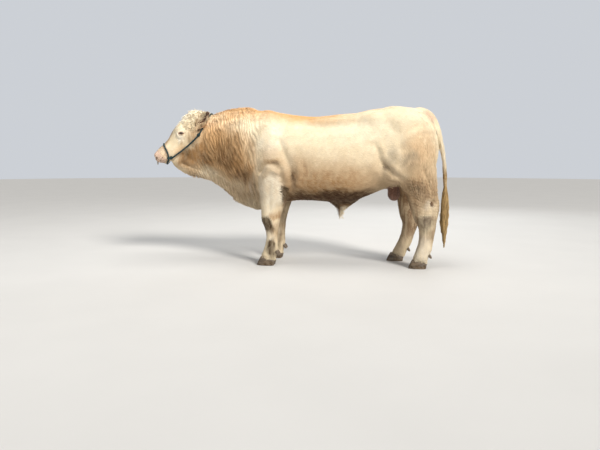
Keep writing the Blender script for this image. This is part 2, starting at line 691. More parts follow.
def sculpt_head(points, normals):
    """Shapes lids, brow, cheek, nostrils, mouth and the wrinkles of the face."""
    head = to_head(points)
    turned = normals @ HEAD_AXES
    on = on_head(points)
    out = np.sign(head[:, 1])
    push = 0.0045 * ripple(head, 0.042, 21) * poll_share(head) * on
    side_face = smoothstep(0.35, 0.75, np.abs(turned[:, 1])) * on
    for line, depth, width in FACE_FOLDS:
        push -= depth * fade(line_distance(head[:, [0, 2]], line), width) * side_face
    mouth = mouth_height(head)
    lips = smoothstep(0.452, 0.466, head[:, 0]) * on
    push -= 0.0062 * fade(head[:, 2] - mouth, 0.0028) * lips
    push += 0.0018 * fade(np.abs(head[:, 2] - mouth) - 0.009, 0.005) * lips
    push += 0.0007 * ripple(head, 0.008, 23) * smoothstep(0.49, 0.52, head[:, 0]) * on
    mirrored = np.stack([head[:, 0], np.abs(head[:, 1]), head[:, 2]], axis=1)
    from_hollow = (mirrored - np.array(EAR_HOLLOW)) / [0.046, 0.034, 0.028]
    push -= 0.013 * smoothstep(1.0, 0.2, np.linalg.norm(from_hollow, axis=1)) * on
    cleft = smoothstep(0.500, 0.520, head[:, 0]) * smoothstep(-0.020, -0.045, head[:, 2]) * on
    push -= 0.0036 * fade(head[:, 1], 0.0040) * cleft
    push += 0.0022 * fade(np.abs(head[:, 1]) - 0.013, 0.0080) * cleft
    points = points + normals * push[:, None]
    head = to_head(points)

    offset = head - np.stack([
        np.full(len(head), NOSTRIL[0]), out * NOSTRIL[1], np.full(len(head), NOSTRIL[2])
    ], axis=1)
    lean = math.radians(38)
    across = offset[:, 1] * out
    long_way = offset[:, 0] * -math.cos(lean) + across * math.sin(lean)
    short_way = offset[:, 2] + 0.25 * long_way
    hole = np.hypot(long_way / 0.0260, (short_way - 6.0 * long_way * np.abs(long_way)) / 0.0132)
    near_nose = (head[:, 0] > 0.49) & (on > 0.5)
    sink = 0.024 * smoothstep(1.0, 0.25, hole) - 0.0028 * fade(hole - 1.30, 0.28)
    inward = np.stack([np.full(len(head), -0.80), -0.45 * out, np.full(len(head), -0.40)], axis=1)
    head += inward * (sink * near_nose)[:, None]

    distance, along, over = slit_distance(head)
    reach, side = eye_reach(head)
    near_eye = (reach < 0.05) & side
    radius = np.where(distance > 0, EYE_RADIUS + LID, EYE_RADIUS - 0.0040)
    radius = radius + 0.0010 * fade(distance - 0.0015, 0.0012)
    crease = np.where(over > 0, 0.0034, 0.0011) * fade(distance - 0.0085, 0.0024)
    crease += 0.0018 * fade(distance - 0.0150, 0.0030)
    flat = np.hypot(along, over)
    reach = np.sqrt(np.maximum(radius**2 - flat**2, 0.003**2))
    share = np.where(distance > 0, smoothstep(0.0150, 0.0040, distance), 1.0) * near_eye
    target = EYE_OUT + reach
    across = np.abs(head[:, 1]) * (1 - share) + target * share - crease * near_eye
    head[:, 1] = out * across
    return from_head(head)


def make_hide(tree):
    bm = bmesh.new()
    for name in FLESH:
        if name != "head":
            bm.from_mesh(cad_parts[name].data)
    bmesh.ops.remove_doubles(bm, verts=bm.verts[:], dist=WELD)
    bm.normal_update()
    for vert in bm.verts:
        vert.co += vert.normal * SWELL
    skull_forms(bm)
    obj = from_bmesh("hide", bm)
    apply_modifier(obj, "fuse", "REMESH", mode="VOXEL", voxel_size=HIDE_GRAIN)
    bm = bmesh.new()
    bm.from_mesh(obj.data)
    keep_largest(bm)
    bm.to_mesh(obj.data)
    bm.free()
    ease_mesh(obj.data, 16, 0.5)

    def head_near(points):
        rough = to_head(points)
        box = (rough[:, 0] > -0.12) & (np.abs(rough[:, 1]) < 0.20) & (rough[:, 2] > -0.34)
        found = np.zeros(len(points), bool)
        for index in np.flatnonzero(box & (points[:, 0] < -0.75)):
            found[index] = tree.find_nearest(Vector(points[index]))[3] < 0.013
        return found

    refine(obj, head_near, 2)
    lay_on_head(obj, tree)
    refine(obj, features_near, 1)
    refine(obj, lids_near, 1)
    lay_on_head(obj, tree)
    ease_mesh(obj.data, 2, 0.5)
    points, normals = vertex_array(obj.data), vertex_array(obj.data, "normals")
    head = to_head(points)
    on = on_head(points)
    points = points - normals * (SWELL * (1 - on) + coat_depth(points, head, on))[:, None]
    move_points(obj.data, points)
    for sculpt in (sculpt_body, sculpt_head):
        points = sculpt(points, vertex_array(obj.data, "normals"))
        move_points(obj.data, points)
    head = to_head(points)
    marks = {"bare": bare_share(points, head, on_head(points)), "hollow": nose_hollows(head)}
    marks["tone"], marks["dirt"] = marking_tones(points)
    mark_points(obj.data, marks)
    smooth_faces(obj.data)
    return obj


# The coat

def scatter(faces, wanted, seed):
    """Roots spread evenly over the faces, as many on each as its area asks for."""
    rng = np.random.default_rng(seed)
    count = np.floor(faces["area"] * wanted + rng.random(len(wanted))).astype(int)
    index = np.repeat(np.arange(len(wanted)), count)
    u, v = rng.random(len(index)), rng.random(len(index))
    over = u + v > 1
    u, v = np.where(over, 1 - u, u), np.where(over, 1 - v, v)
    weights = np.stack([1 - u - v, u, v], axis=1)[:, :, None]
    roots = (faces["corners"][index] * weights).sum(1)
    return roots, unit((faces["normals"][index] * weights).sum(1)), rng


def coat_lie(points, normals, head, on):
    """The way the hair lies at each point, along the hide."""
    way = np.tile([0.93, 0.0, -0.36], (len(points), 1))
    x, beside, z = points[:, 0], np.abs(points[:, 1]), points[:, 2]
    parts = (
        (smoothstep(-0.22, -0.45, x), (0.30, 0.0, -0.95)),
        (smoothstep(0.80, 1.00, x) * smoothstep(1.30, 1.10, z), (0.25, 0.0, -0.97)),
        (smoothstep(0.66, 0.54, z) * (beside > LEG_OUT), (0.10, 0.0, -1.0)),
        (on_tail(points), (0.15, 0.0, -1.0)),
        (smoothstep(1.10, 1.25, x) * smoothstep(0.03, 0.06, beside), (0.2, 0.0, -1.0)),
    )
    for share, target in parts:
        way = way * (1 - share[:, None]) + np.array(target) * share[:, None]
    face = np.stack([
        np.full(len(points), 0.85),
        np.sign(head[:, 1]) * 0.45,
        np.where(head[:, 2] < -0.13, -0.75, -0.20),
    ], axis=1)
    face[:, 0] = np.where((head[:, 0] < 0.10) & (head[:, 2] < -0.13), -0.6, face[:, 0])
    way = way * (1 - on[:, None]) + (face @ HEAD_AXES.T) * on[:, None]
    way = laid_flat(way, normals)
    sway = 0.20 + 0.22 * smoothstep(-0.25, -0.50, x) * (1 - on)
    sway += 0.55 * smoothstep(0.85, 1.0, x) * smoothstep(0.80, 0.66, z)
    turn = sway * ripple(points, 0.11, 31) + 0.12 * ripple(points, 0.03, 32)
    other = np.cross(normals, way)
    return way * np.cos(turn)[:, None] + other * np.sin(turn)[:, None]


def strands(points):
    """Where the hair gathers: waves round neck and shoulder, and across the folds above the hock."""
    x, z = points[:, 0], points[:, 2]
    front = smoothstep(-0.05, -0.55, x + 0.25 * np.maximum(0, 1.15 - z))
    wander = 0.022 * ripple(points * np.array([1.0, 1.0, 0.45]), 0.20, 41)
    phase = 2 * math.pi * (x + 0.22 * z + wander) / STRAND_SPACE
    hock = smoothstep(0.94, 1.02, x) * smoothstep(0.38, 0.46, z)
    hock *= smoothstep(0.84, 0.76, z)
    across = 2 * math.pi * (z + 0.20 * x + 0.6 * wander) / HOCK_FOLD_SPACE
    crest = np.sin(phase) * front + 0.85 * np.sin(across) * hock
    tilt = np.array([0.30, 0.0, 0.08]) * (np.cos(phase) * front)[:, None]
    return crest, tilt + np.array([0.05, 0.0, 0.28]) * (np.cos(across) * hock)[:, None]


def capsule_map(points, start, end):
    """An unwrap of a rounded body round an axis, with its two ends laid out as caps."""
    start, end = np.array(start, float), np.array(end, float)
    way = (end - start) / np.linalg.norm(end - start)
    place = (points - start) @ way
    span = np.linalg.norm(end - start)
    radial = points - start - np.clip(place, 0, span)[:, None] * way
    cap = radial @ way
    flat = radial - cap[:, None] * way
    reach = np.linalg.norm(flat, axis=1)
    first = np.cross(way, [0, 0, 1.0]) if abs(way[2]) < 0.8 else np.array([0, 1.0, 0])
    first /= np.linalg.norm(first)
    second = np.cross(way, first)
    turn = np.arctan2(flat @ second, flat @ first)
    size = np.median(reach)
    along = np.clip(place, 0, span) + size * np.arctan2(cap, np.maximum(reach, 1e-6))
    patch = np.stack([along, turn * size], axis=1)
    patch -= patch.min(axis=0)
    return 0.006 + patch / np.maximum(patch.max(axis=0), 1e-6) * 0.985


TUFT_FACES = np.array([
    (0, 4, 1), (0, 3, 4), (3, 6, 4), (0, 1, 2), (1, 5, 2), (1, 4, 5), (2, 3, 0), (2, 5, 3),
    (4, 6, 5), (5, 6, 3),
])
TUFT_BACK = 3  # how many of these, the first ones, are turned to the hide
TUFT_ROOT = 0.0022  # how deep a tuft's root sits in the hide
PATCH = 0.003  # how much of the map a tuft takes
STRAND_SPACE = 0.025  # from one gathered strand of hair to the next
HOCK_FOLD_SPACE = 0.026


def hair_marks(roots, along, shade, each):
    """What the finishes read at the points of tufts and locks, which have as many points each."""
    tone, dirt = marking_tones(roots)
    return {
        "along": along, "shade": np.repeat(shade, each), "tone": np.repeat(tone, each, axis=0),
        "dirt": np.repeat(dirt, each),
    }


def tuft_mesh(name, roots, normals, way, sizes, shade, patch, tilted=None):
    """Flat tapered tufts: a three-sided root sunk in the hide, a middle, and a tip that comes back down."""
    long_, wide, rise, thick = (np.broadcast_to(v, len(roots))[:, None] for v in sizes)
    side = np.cross(normals, way)
    first = roots - normals * TUFT_ROOT
    middle = roots + way * long_ * 0.45 + normals * rise * 0.85
    tip = roots + way * long_ + normals * rise * 0.55
    points = np.stack([
        first + side * wide * 0.42, first - side * wide * 0.42, first + normals * thick,
        middle + side * wide * 0.5, middle - side * wide * 0.5, middle + normals * thick,
        tip,
    ], axis=1)
    count = len(roots)
    faces = (TUFT_FACES[None] + 7 * np.arange(count)[:, None, None]).reshape(-1, 3)
    lean = np.stack([side, -side, normals * 0, side, -side, normals * 0, normals * 0], axis=1)
    base = normals if tilted is None else tilted
    soft = (base[:, None] + lean * 0.26)[:, TUFT_FACES]
    soft[:, :TUFT_BACK] *= -1
    soft = unit(soft.reshape(-1, 3))
    along = np.tile([0.0, 0.0, 0.0, 0.5, 0.5, 0.5, 1.0], count)
    half = PATCH / 2
    shape = np.array([(0, -half), (0, half), (0, 0), (half, -half), (half, half), (half, 0), (PATCH, 0)])
    spots = (patch[:, None] + shape[None]).reshape(-1, 2)
    marks = hair_marks(roots, along, shade, 7)
    return from_arrays(name, points.reshape(-1, 3), faces, marks, spots, soft)


def coat_sizes(roots, normals, head, on, rng):
    """Length, width, rise and thickness of each tuft, by where it grows."""
    coat = bpy.context.scene.bull_coat
    count = len(roots)
    x, z = roots[:, 0], roots[:, 2]
    front = smoothstep(-0.10, -0.42, x)
    long_ = coat.body_length + (coat.neck_length - coat.body_length) * front
    under = smoothstep(-0.45, -0.85, normals[:, 2]) * (z > 0.45)
    rear = smoothstep(1.02, 1.14, x) * smoothstep(0.60, 0.70, z) * smoothstep(1.25, 1.05, z)
    fringe = np.maximum(np.maximum(under, rear * 0.8), smoothstep(-0.30, -0.36, x) * (z < 0.66))
    long_ = long_ + (coat.fringe_length - long_) * fringe * (1 - on)
    leg = smoothstep(0.64, 0.54, z) * (np.abs(roots[:, 1]) > LEG_OUT)
    long_ = long_ + (coat.leg_length - long_) * leg
    long_ = long_ + 0.012 * (leg * smoothstep(0.14, 0.08, z))
    long_ = long_ + (0.022 - long_) * on_tail(roots)
    face = coat.face_length + 0.012 * smoothstep(-0.13, -0.22, head[:, 2])
    face = face + 0.006 * smoothstep(0.30, 0.16, head[:, 0])
    long_ = long_ * (1 - on) + face * on
    long_ = long_ * rng.uniform(0.75, 1.25, count)
    wide = (0.0022 + 0.080 * long_) * (1 - 0.38 * on) * (1 - 0.25 * leg)
    wide = wide * (1 - 0.28 * front * (1 - on)) * rng.uniform(0.8, 1.2, count)
    sleek = (1 - front) * (1 - on) * smoothstep(0.66, 0.80, z)
    rise = (0.0016 + 0.070 * long_) * (1 - 0.55 * sleek) * (1 - 0.35 * on) + 0.005 * fringe * (1 - on)
    coronet = leg * smoothstep(0.120, 0.095, z)
    long_ = long_ + 0.008 * coronet
    rise = (rise + 0.003 * coronet) * rng.uniform(0.5, 1.3, count)
    return long_, wide, rise, 0.28 * wide


def grow_coat(name, faces, keep, cover, axis, seed):
    """One piece of coat over the chosen faces of the hide."""
    middle = faces["middle"]
    head = to_head(middle)
    on = on_head(middle)
    open_hide = 1 - bare_share(middle, head, on)
    distance, _, _ = slit_distance(head)
    open_hide *= 1 - (distance < 0.0035) * (np.abs(head[:, 1]) > BESIDE) * on
    open_hide *= 1 - 0.40 * poll_share(head) * on
    roots, normals, rng = scatter(faces, np.where(keep, cover * open_hide, 0.0), seed)
    head, on = to_head(roots), on_head(roots)
    way = coat_lie(roots, normals, head, on)
    sizes = list(coat_sizes(roots, normals, head, on, rng))
    crest, tilt = strands(roots)
    crest, tilt = crest * (1 - on), tilt * (1 - on)[:, None]
    sizes[2] = sizes[2] * (1 + 0.5 * np.maximum(crest, -0.6))
    shade = 0.85 * crest + 0.24 * rng.normal(size=len(roots)) + 0.22 * ripple(roots, 0.05, 51)
    tilted = unit(normals - tilt)
    obj = tuft_mesh(name, roots, normals, way, sizes, shade, capsule_map(roots, *axis), tilted)
    return finish(obj, "coat")


def tube_arrays(paths, radii, facing, sides):
    """Closed tubes along many paths of as many points each; facing is what one side of each tube turns to."""
    count, steps, _ = paths.shape
    ways = np.gradient(paths, axis=1)
    ways /= np.maximum(np.linalg.norm(ways, axis=2, keepdims=True), 1e-9)
    up = facing - ways * np.sum(facing * ways, axis=2, keepdims=True)
    up /= np.maximum(np.linalg.norm(up, axis=2, keepdims=True), 1e-9)
    side = np.cross(ways, up)
    turn = (np.arange(sides) * 2 * math.pi / sides)[None, None, :, None]
    ring = up[:, :, None] * np.cos(turn) + side[:, :, None] * np.sin(turn)
    points = paths[:, :, None] + ring * np.broadcast_to(radii, (count, steps))[:, :, None, None]
    step, k = np.meshgrid(np.arange(steps - 1), np.arange(sides), indexing="ij")
    a, b = (step * sides + k).ravel(), (step * sides + (k + 1) % sides).ravel()
    faces = [np.stack([a, b, b + sides], axis=1), np.stack([a, b + sides, a + sides], axis=1)]
    fan = np.array([(0, j, j + 1) for j in range(1, sides - 1)])
    faces += [fan[:, ::-1], fan + (steps - 1) * sides]
    faces = np.concatenate(faces)[None] + (steps * sides * np.arange(count))[:, None, None]
    return points.reshape(-1, 3), faces.reshape(-1, 3), ring.reshape(-1, 3)


def lock_piece(name, paths, radii, facing, shade, patch, sides=3, outward=None):
    """One mesh of long hairs or locks, with the same marks as the tufts."""
    count, steps, _ = paths.shape
    points, faces, ring = tube_arrays(paths, radii, facing, sides)
    along = np.tile(np.repeat(np.linspace(0, 1, steps), sides), count)
    spots = np.repeat(patch, steps * sides, axis=0)
    spots = spots + PATCH * np.stack([along, np.tile(np.arange(sides) / sides, count * steps)], axis=1)
    corners = faces.ravel()
    soft = ring[corners]
    if outward is not None:
        away = np.repeat(outward, steps * sides, axis=0)[corners]
        turned = np.repeat(soft.reshape(-1, 3, 3).mean(axis=1), 3, axis=0)
        upper = np.sum(turned * away, axis=1, keepdims=True) > 0
        soft = unit(np.where(upper, soft * 0.7 + away, soft))
    marks = hair_marks(paths[:, 0], along, shade, steps * sides)
    return from_arrays(name, points, faces, marks, spots, soft)


def grow_curls(faces):
    """Small spiral locks, close together over poll and forehead."""
    coat = bpy.context.scene.bull_coat
    middle = faces["middle"]
    head = to_head(middle)
    distance, _, _ = slit_distance(head)
    off_lids = (distance > 0.022) | (np.abs(head[:, 1]) < BESIDE)
    share = poll_share(head) * on_head(middle) * off_lids
    wanted = share * coat.curls / max(np.sum(share * faces["area"]), 1e-6)
    roots, normals, rng = scatter(faces, wanted, 61)
    head = to_head(roots)
    count = len(roots)
    way = coat_lie(roots, normals, head, np.ones(count))
    side = np.cross(normals, way)
    steps = np.linspace(0, 1, 8)
    radius = coat.curl_radius * rng.uniform(0.55, 1.1, count)
    radius = radius * (0.42 + 0.58 * smoothstep(0.20, 0.10, head[:, 0]))
    wander = np.stack([ripple(roots, 0.045, seed) for seed in (63, 64, 65)], axis=1)
    lean = normals * rng.uniform(0.15, 0.60, count)[:, None]
    axis = unit(way + lean + wander * 0.55 + rng.normal(size=(count, 3)) * 0.12)
    first = unit(np.cross(axis, side))
    second = np.cross(axis, first)
    turns = np.where(ripple(roots, 0.07, 66) > 0, 1, -1) * rng.uniform(0.65, 1.10, count) * 2 * math.pi
    start = math.pi * 1.4 * ripple(roots, 0.05, 67) + rng.normal(size=count) * 0.45
    angle = start[:, None] + turns[:, None] * steps
    reach = radius[:, None] * (0.52 - 0.22 * steps)
    drift = (radius * rng.uniform(2.0, 3.2, count))[:, None] * steps
    paths = roots[:, None] + axis[:, None] * drift[:, :, None]
    paths = paths + normals[:, None] * (0.45 * radius)[:, None, None]
    paths = paths + first[:, None] * (np.cos(angle) * reach)[:, :, None]
    paths = paths + second[:, None] * (np.sin(angle) * reach)[:, :, None]
    radii = (0.0006 + 0.13 * radius)[:, None] * np.sin(math.pi * (0.16 + 0.80 * steps))
    shade = 0.25 + 0.32 * rng.normal(size=count) + 0.25 * ripple(roots, 0.03, 62)
    patch = capsule_map(roots, *HEAD_AXIS)
    obj = lock_piece("coat_curls", paths, radii, normals[:, None], shade, patch, 3, normals)
    return finish(obj, "coat")


def node_slices(name, levels):
    """Middle and half size of a solid across each of a row of heights."""
    points = vertex_array(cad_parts[name].data)
    rows = []
    for level in levels:
        near = points[np.abs(points[:, 2] - level) < 0.022]
        if len(near) < 4:
            near = points[np.argsort(np.abs(points[:, 2] - level))[:8]]
        low, high = near.min(axis=0)[:2], near.max(axis=0)[:2]
        rows.append((*(low + high) / 2, *(high - low) / 2))
    return np.array(rows)


def grow_switch():
    """Long waving locks round the end of the tail, in the room of its solid."""
    coat = bpy.context.scene.bull_coat
    low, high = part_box("tail_switch")
    rng = np.random.default_rng(71)
    levels = np.linspace(low.z, high.z, 24)
    rows = node_slices("tail_switch", levels)
    middle = np.sin(math.pi * np.clip((levels - low.z) / (high.z - low.z), 0, 1)) ** 0.6
    rows[:, 2:] = rows[:, 2:] * (1 + 0.45 * middle)[:, None] + 0.004
    upper = np.array([0.745, 0.78, 0.82, 0.86, 0.90])
    beside = np.interp(upper, [z for _, z in TAIL_LINE[::-1]], [x for x, _ in TAIL_LINE[::-1]])
    around = np.full(len(upper), 0.0175)
    rows = np.vstack([rows[:-1], np.stack([beside, around * 0, around, around], axis=1)])
    levels = np.concatenate([levels[:-1], upper])
    count, steps = coat.switch_locks, np.linspace(0, 1, 14)
    angle, share = rng.uniform(0, 2 * math.pi, count), np.sqrt(rng.uniform(0.0, 1.0, count))
    start = 0.885 - rng.uniform(0, 1, count) ** 1.2 * 0.50
    end = low.z + 0.012 + rng.uniform(0, 1, count) ** 1.8 * 0.42 * (high.z - low.z)
    end = np.minimum(end, start - 0.10)
    z = start[:, None] + (end - start)[:, None] * steps
    tight = smoothstep(0.80, 0.70, z)
    spread = 0.30 + 0.70 * np.sin(np.clip(steps * 1.9, 0, math.pi / 2))
    inner = (1 - tight) * 1.02 + tight * share[:, None] * spread
    waves = np.sin(z * 2 * math.pi / rng.uniform(0.07, 0.12, count)[:, None] + angle[:, None])
    turn = angle[:, None] + 0.16 * waves + 0.30 * np.sin(z * 7 + angle[:, None] * 3)
    place = [np.interp(z, levels, rows[:, k]) for k in range(4)]
    x = place[0] + np.cos(turn) * inner * np.maximum(place[2] - 0.002, 0.003) + 0.0022 * waves
    y = place[1] + np.sin(turn) * inner * np.maximum(place[3] - 0.002, 0.003)
    paths = np.stack([x, y, z], axis=2)
    thick = rng.uniform(0.0013, 0.0030, count)[:, None]
    radii = thick * np.clip(steps * 5 + 0.35, 0, 1) * (1 - 0.82 * steps**2.5)
    outward = unit(np.stack([np.cos(angle), np.sin(angle), np.zeros(count)], axis=1))
    patch = [(start - start.min()) / np.ptp(start), angle / (2 * math.pi)]
    patch = 0.02 + 0.95 * np.stack(patch, axis=1)
    shade = 0.6 * rng.normal(size=count) + 0.5 * (share - 0.6)
    obj = lock_piece("switch_locks", paths, radii, outward[:, None], shade, patch, 4, outward * 0.6)
    return finish(obj, "long_hair", ["tail_switch"])


def grow_sheath_hair(faces):
    """The loose tuft that hangs from the sheath."""
    low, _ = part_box("sheath")
    rng = np.random.default_rng(81)
    near = np.linalg.norm(faces["middle"] - np.array(SHEATH_TIP), axis=1) < 0.062
    near &= faces["middle"][:, 2] < 0.56
    roots, normals, _ = scatter(faces, near * SHEATH_COVER, 82)
    count, steps = len(roots), np.linspace(0, 1, 9)
    middle = fade(roots[:, 0] - SHEATH_HANG, 0.016)
    span = np.minimum(rng.uniform(0.014, 0.030, count) + 0.075 * middle, roots[:, 2] - low.z - 0.004)
    drop = unit(np.array([-0.04, 0.0, -1.0]) + normals * 0.12 + rng.normal(size=(count, 3)) * 0.06)
    paths = roots[:, None] + drop[:, None] * (span[:, None] * steps)[:, :, None]
    bend = np.array([0.0, 0.10, 0.0]) * np.sign(roots[:, 1:2])
    paths = paths - bend[:, None] * (span[:, None] * steps**2)[:, :, None]
    paths[:, :, 2] = np.maximum(paths[:, :, 2], low.z + 0.003)
    radii = rng.uniform(0.0013, 0.0022, count)[:, None] * (1.0 - 0.85 * steps**1.5)
    patch = np.stack([0.05 + 0.9 * rng.random(count), 0.05 + 0.9 * rng.random(count)], axis=1)
    shade = rng.normal(size=count) * 0.5
    obj = lock_piece("sheath_hair", paths, radii, normals[:, None], shade, patch, 3, normals * 0.5)
    return finish(obj, "coat")


def ear_place(side):
    """Carries an ear's own frame, along it, across it and out of its cup, into place."""
    along = Vector((EAR_WAY[0], EAR_WAY[1] * side, EAR_WAY[2])).normalized()
    out = Vector((EAR_OPENING[0], EAR_OPENING[1] * side, EAR_OPENING[2]))
    out = (out - along * out.dot(along)).normalized()
    axes = Matrix((along, out.cross(along), out)).transposed().to_4x4()
    root = Vector((EAR_ROOT[0], EAR_ROOT[1] * side, EAR_ROOT[2])) - along * 0.02
    return HEAD @ Matrix.Translation(root) @ axes


def make_ear(name, side):
    """A finely shaped leaf of gristle: rolled at its root, open to the side, with ribs inside its cup."""
    rows, columns = 30, 27
    only_nothing()
    bpy.ops.mesh.primitive_grid_add(x_subdivisions=rows - 1, y_subdivisions=columns - 1, size=2.0)
    ear = bpy.context.object
    ear.name = name
    place = ear_place(side)
    for vert in ear.data.vertices:
        t, v = (vert.co.x + 1) / 2, vert.co.y
        half = EAR_HALF_WIDTH * (math.sin(math.pi * min(1, 0.16 + 0.80 * t)) ** 0.75) * (1 - 0.35 * t**6)
        roll = math.radians(150 + (55 - 150) * min(1, t * 1.6))
        angle = v * roll
        radius = half / roll * 1.35
        x = EAR_LENGTH * t + 0.004 * math.sin(5 * v + 2)
        y = radius * math.sin(angle)
        z = radius * (1 - math.cos(angle)) - 0.012 * math.sin(math.pi * t)
        rib = math.cos(v * 3.5 * math.pi) * 0.0016 * math.sin(math.pi * min(1, t * 1.2))
        rim = 0.004 * max(0.0, abs(v) - 0.82) / 0.18
        z += rib - rim * (1 - t)
        y *= 1 + 0.03 * math.sin(t * 9 + side)
        vert.co = place @ Vector((x, y, z))
    rope = rope_line("halter_headstall", False)
    room = bpy.context.scene.bull_halter.strand + bpy.context.scene.bull_halter.spread + 0.0065
    for vert in ear.data.vertices:
        nearest = rope[np.argmin(np.linalg.norm(rope - np.array(vert.co), axis=1))]
        away = vert.co - Vector(nearest)
        if away.length < room:
            vert.co = Vector(nearest) + away.normalized() * room
    apply_modifier(ear, "wall", "SOLIDIFY", thickness=EAR_WALL, offset=-1.0)
    apply_modifier(ear, "soft", "SUBSURF", levels=1, render_levels=1)
    mesh = ear.data
    inverse = place.inverted()
    points = vertex_array(mesh)
    local = (np.array(inverse.to_3x3()) @ points.T).T + np.array(inverse.translation)
    normals = vertex_array(mesh, "normals")
    facing = normals @ np.array(place.to_3x3())[:, 2]
    cup = smoothstep(-0.1, 0.35, facing) * smoothstep(0.0, 0.02, local[:, 0])
    rim = smoothstep(0.72, 1.0, np.abs(local[:, 1]) / np.maximum(EAR_HALF_WIDTH * 0.8, 1e-6))
    mark_points(mesh, {"cup": cup, "rim": rim, "tone": marking_tones(points)[0]})
    smooth_faces(mesh)
    return finish(ear, "ear")


def grow_ear_hair(ear, side, seed):
    """Short hair down the back of an ear, and the long pale fringe of its rim and cup."""
    place = ear_place(side)
    axes = np.array(place.to_3x3())
    faces = surface_faces(ear)
    local = (faces["middle"] - np.array(place.translation)) @ axes
    facing = faces["normals"].mean(axis=1) @ axes[:, 2]
    rim = smoothstep(0.55, 0.95, np.abs(local[:, 1]) / (EAR_HALF_WIDTH * 0.82))
    share = np.where(facing > 0.15, EAR_COVER[0] + EAR_COVER[1] * rim, EAR_COVER[2])
    share[local[:, 0] < 0.006] = 0
    roots, normals, rng = scatter(faces, share, seed)
    local = (roots - np.array(place.translation)) @ axes
    inside = smoothstep(0.0, 0.3, normals @ axes[:, 2])
    edge = smoothstep(0.50, 0.95, np.abs(local[:, 1]) / (EAR_HALF_WIDTH * 0.82))
    count = len(roots)
    way = axes[:, 0] + np.sign(local[:, 1])[:, None] * axes[:, 1] * (0.35 - 1.2 * inside)[:, None]
    way = way + axes[:, 2] * (0.25 * inside)[:, None] + rng.normal(size=(count, 3)) * 0.12
    way = laid_flat(way, normals)
    long_ = (0.010 + 0.012 * edge + 0.020 * inside * edge) * rng.uniform(0.7, 1.3, count)
    wide = 0.0010 + 0.035 * long_
    rise = (0.0010 + 0.20 * long_ * inside + 0.06 * long_) * rng.uniform(0.5, 1.3, count)
    shade = 0.4 * rng.normal(size=count) - 0.3 * inside * (1 - edge)
    around = 0.5 + np.arctan2(local[:, 2], local[:, 1]) / (2.2 * math.pi)
    patch = np.clip(np.stack([local[:, 0] / 0.25, around], axis=1), 0.004, 0.99)
    sizes = (long_, wide, rise, wide * 0.3)
    return finish(tuft_mesh(f"{ear.name}_hair", roots, normals, way, sizes, shade, patch), "coat")


def surface_faces(obj):
    """Corners, middles, normals and areas of a surface's triangles."""
    mesh = obj.data
    mesh.calc_loop_triangles()
    triangles = np.empty(len(mesh.loop_triangles) * 3, np.int32)
    mesh.loop_triangles.foreach_get("vertices", triangles)
    triangles = triangles.reshape(-1, 3)
    points, normals = vertex_array(mesh), vertex_array(mesh, "normals")
    corners = points[triangles]
    across = np.cross(corners[:, 1] - corners[:, 0], corners[:, 2] - corners[:, 0])
    area = np.linalg.norm(across, axis=1) / 2
    middle = corners.mean(axis=1)
    return {"corners": corners, "normals": normals[triangles], "middle": middle, "area": area}


def make_eye(name, side):
    """An eyeball with its clear front bulged, its pole turned out of the head."""
    low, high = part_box(f"eye_{name}")
    centre = (low + high) / 2
    way = (HEAD.to_3x3() @ Vector((0.10, side, 0.10))).normalized()
    only_nothing()
    bpy.ops.mesh.primitive_uv_sphere_add(segments=48, ring_count=32, radius=EYE_RADIUS)
    eye = bpy.context.object
    eye.name = f"eyeball_{name}"
    angle = math.radians(SLIT_ANGLE)
    slit = (HEAD.to_3x3() @ Vector((math.cos(angle), 0, math.sin(angle)))).normalized()
    across = way.cross(slit).normalized()
    axes = Matrix((across.cross(way), across, way)).transposed().to_4x4()
    for vert in eye.data.vertices:
        lift = 1 + 0.055 * max(0.0, vert.co.z / EYE_RADIUS - 0.72) / 0.28
        vert.co *= lift
    eye.data.transform(Matrix.Translation(centre) @ axes)
    smooth_faces(eye.data)
    return finish(eye, "eye", [f"eye_{name}"])


def grow_lashes():
    """Long pale lashes along each upper lid, and the short ones of the lower lid."""
    rng = np.random.default_rng(91)
    paths, normals = [], []
    angle = math.radians(SLIT_ANGLE)
    steps = np.linspace(0, 1, 7)
    for side in HEAD_SIDES.values():
        for k in range(sum(LASHES)):
            upper = k < LASHES[0]
            share = rng.uniform(-0.9, 0.95)
            along = share * SLIT[0] * (1.2 if share > 0 else 1.0)
            rise = (SLIT[1] if upper else -SLIT[2]) * (1 - share**2)
            over = rise + (0.0012 if upper else -0.0012)
            down = EYE_DOWN + along * math.cos(angle) - over * math.sin(angle)
            front = EYE_FRONT + along * math.sin(angle) + over * math.cos(angle)
            reach = math.sqrt(max((EYE_RADIUS + LID) ** 2 - along**2 - over**2, 1e-6))
            root = np.array([down, side * (EYE_OUT + reach - 0.0008), front])
            lift = np.array([-math.sin(angle), 0, math.cos(angle)]) * (0.55 if upper else -0.5)
            way = np.array([0.25 + 0.3 * share, side, 0.1]) + lift + rng.normal(size=3) * 0.12
            way /= np.linalg.norm(way)
            sag = np.array([math.sin(angle), 0, -math.cos(angle)]) * (0.6 if upper else -0.1)
            span = rng.uniform(0.014, 0.021) if upper else rng.uniform(0.007, 0.011)
            path = root + np.outer(steps, way) * span + np.outer(steps**2, sag) * span * 0.7
            paths.append(from_head(path))
            normals.append(HEAD_AXES @ np.array([0, side, 0]))
    paths, normals = np.array(paths), np.array(normals)
    radii = 0.00042 * (1.0 - 0.8 * steps)[None] * np.ones((len(paths), 1))
    patch = np.stack([rng.uniform(0.1, 0.9, len(paths)), rng.uniform(0.1, 0.9, len(paths))], axis=1)
    facing = np.tile(HEAD_AXES[:, 0], (len(paths), 1))[:, None]
    obj = lock_piece("lashes", paths, radii, facing, rng.normal(size=len(paths)) * 0.3, patch)
    return finish(obj, "coat")


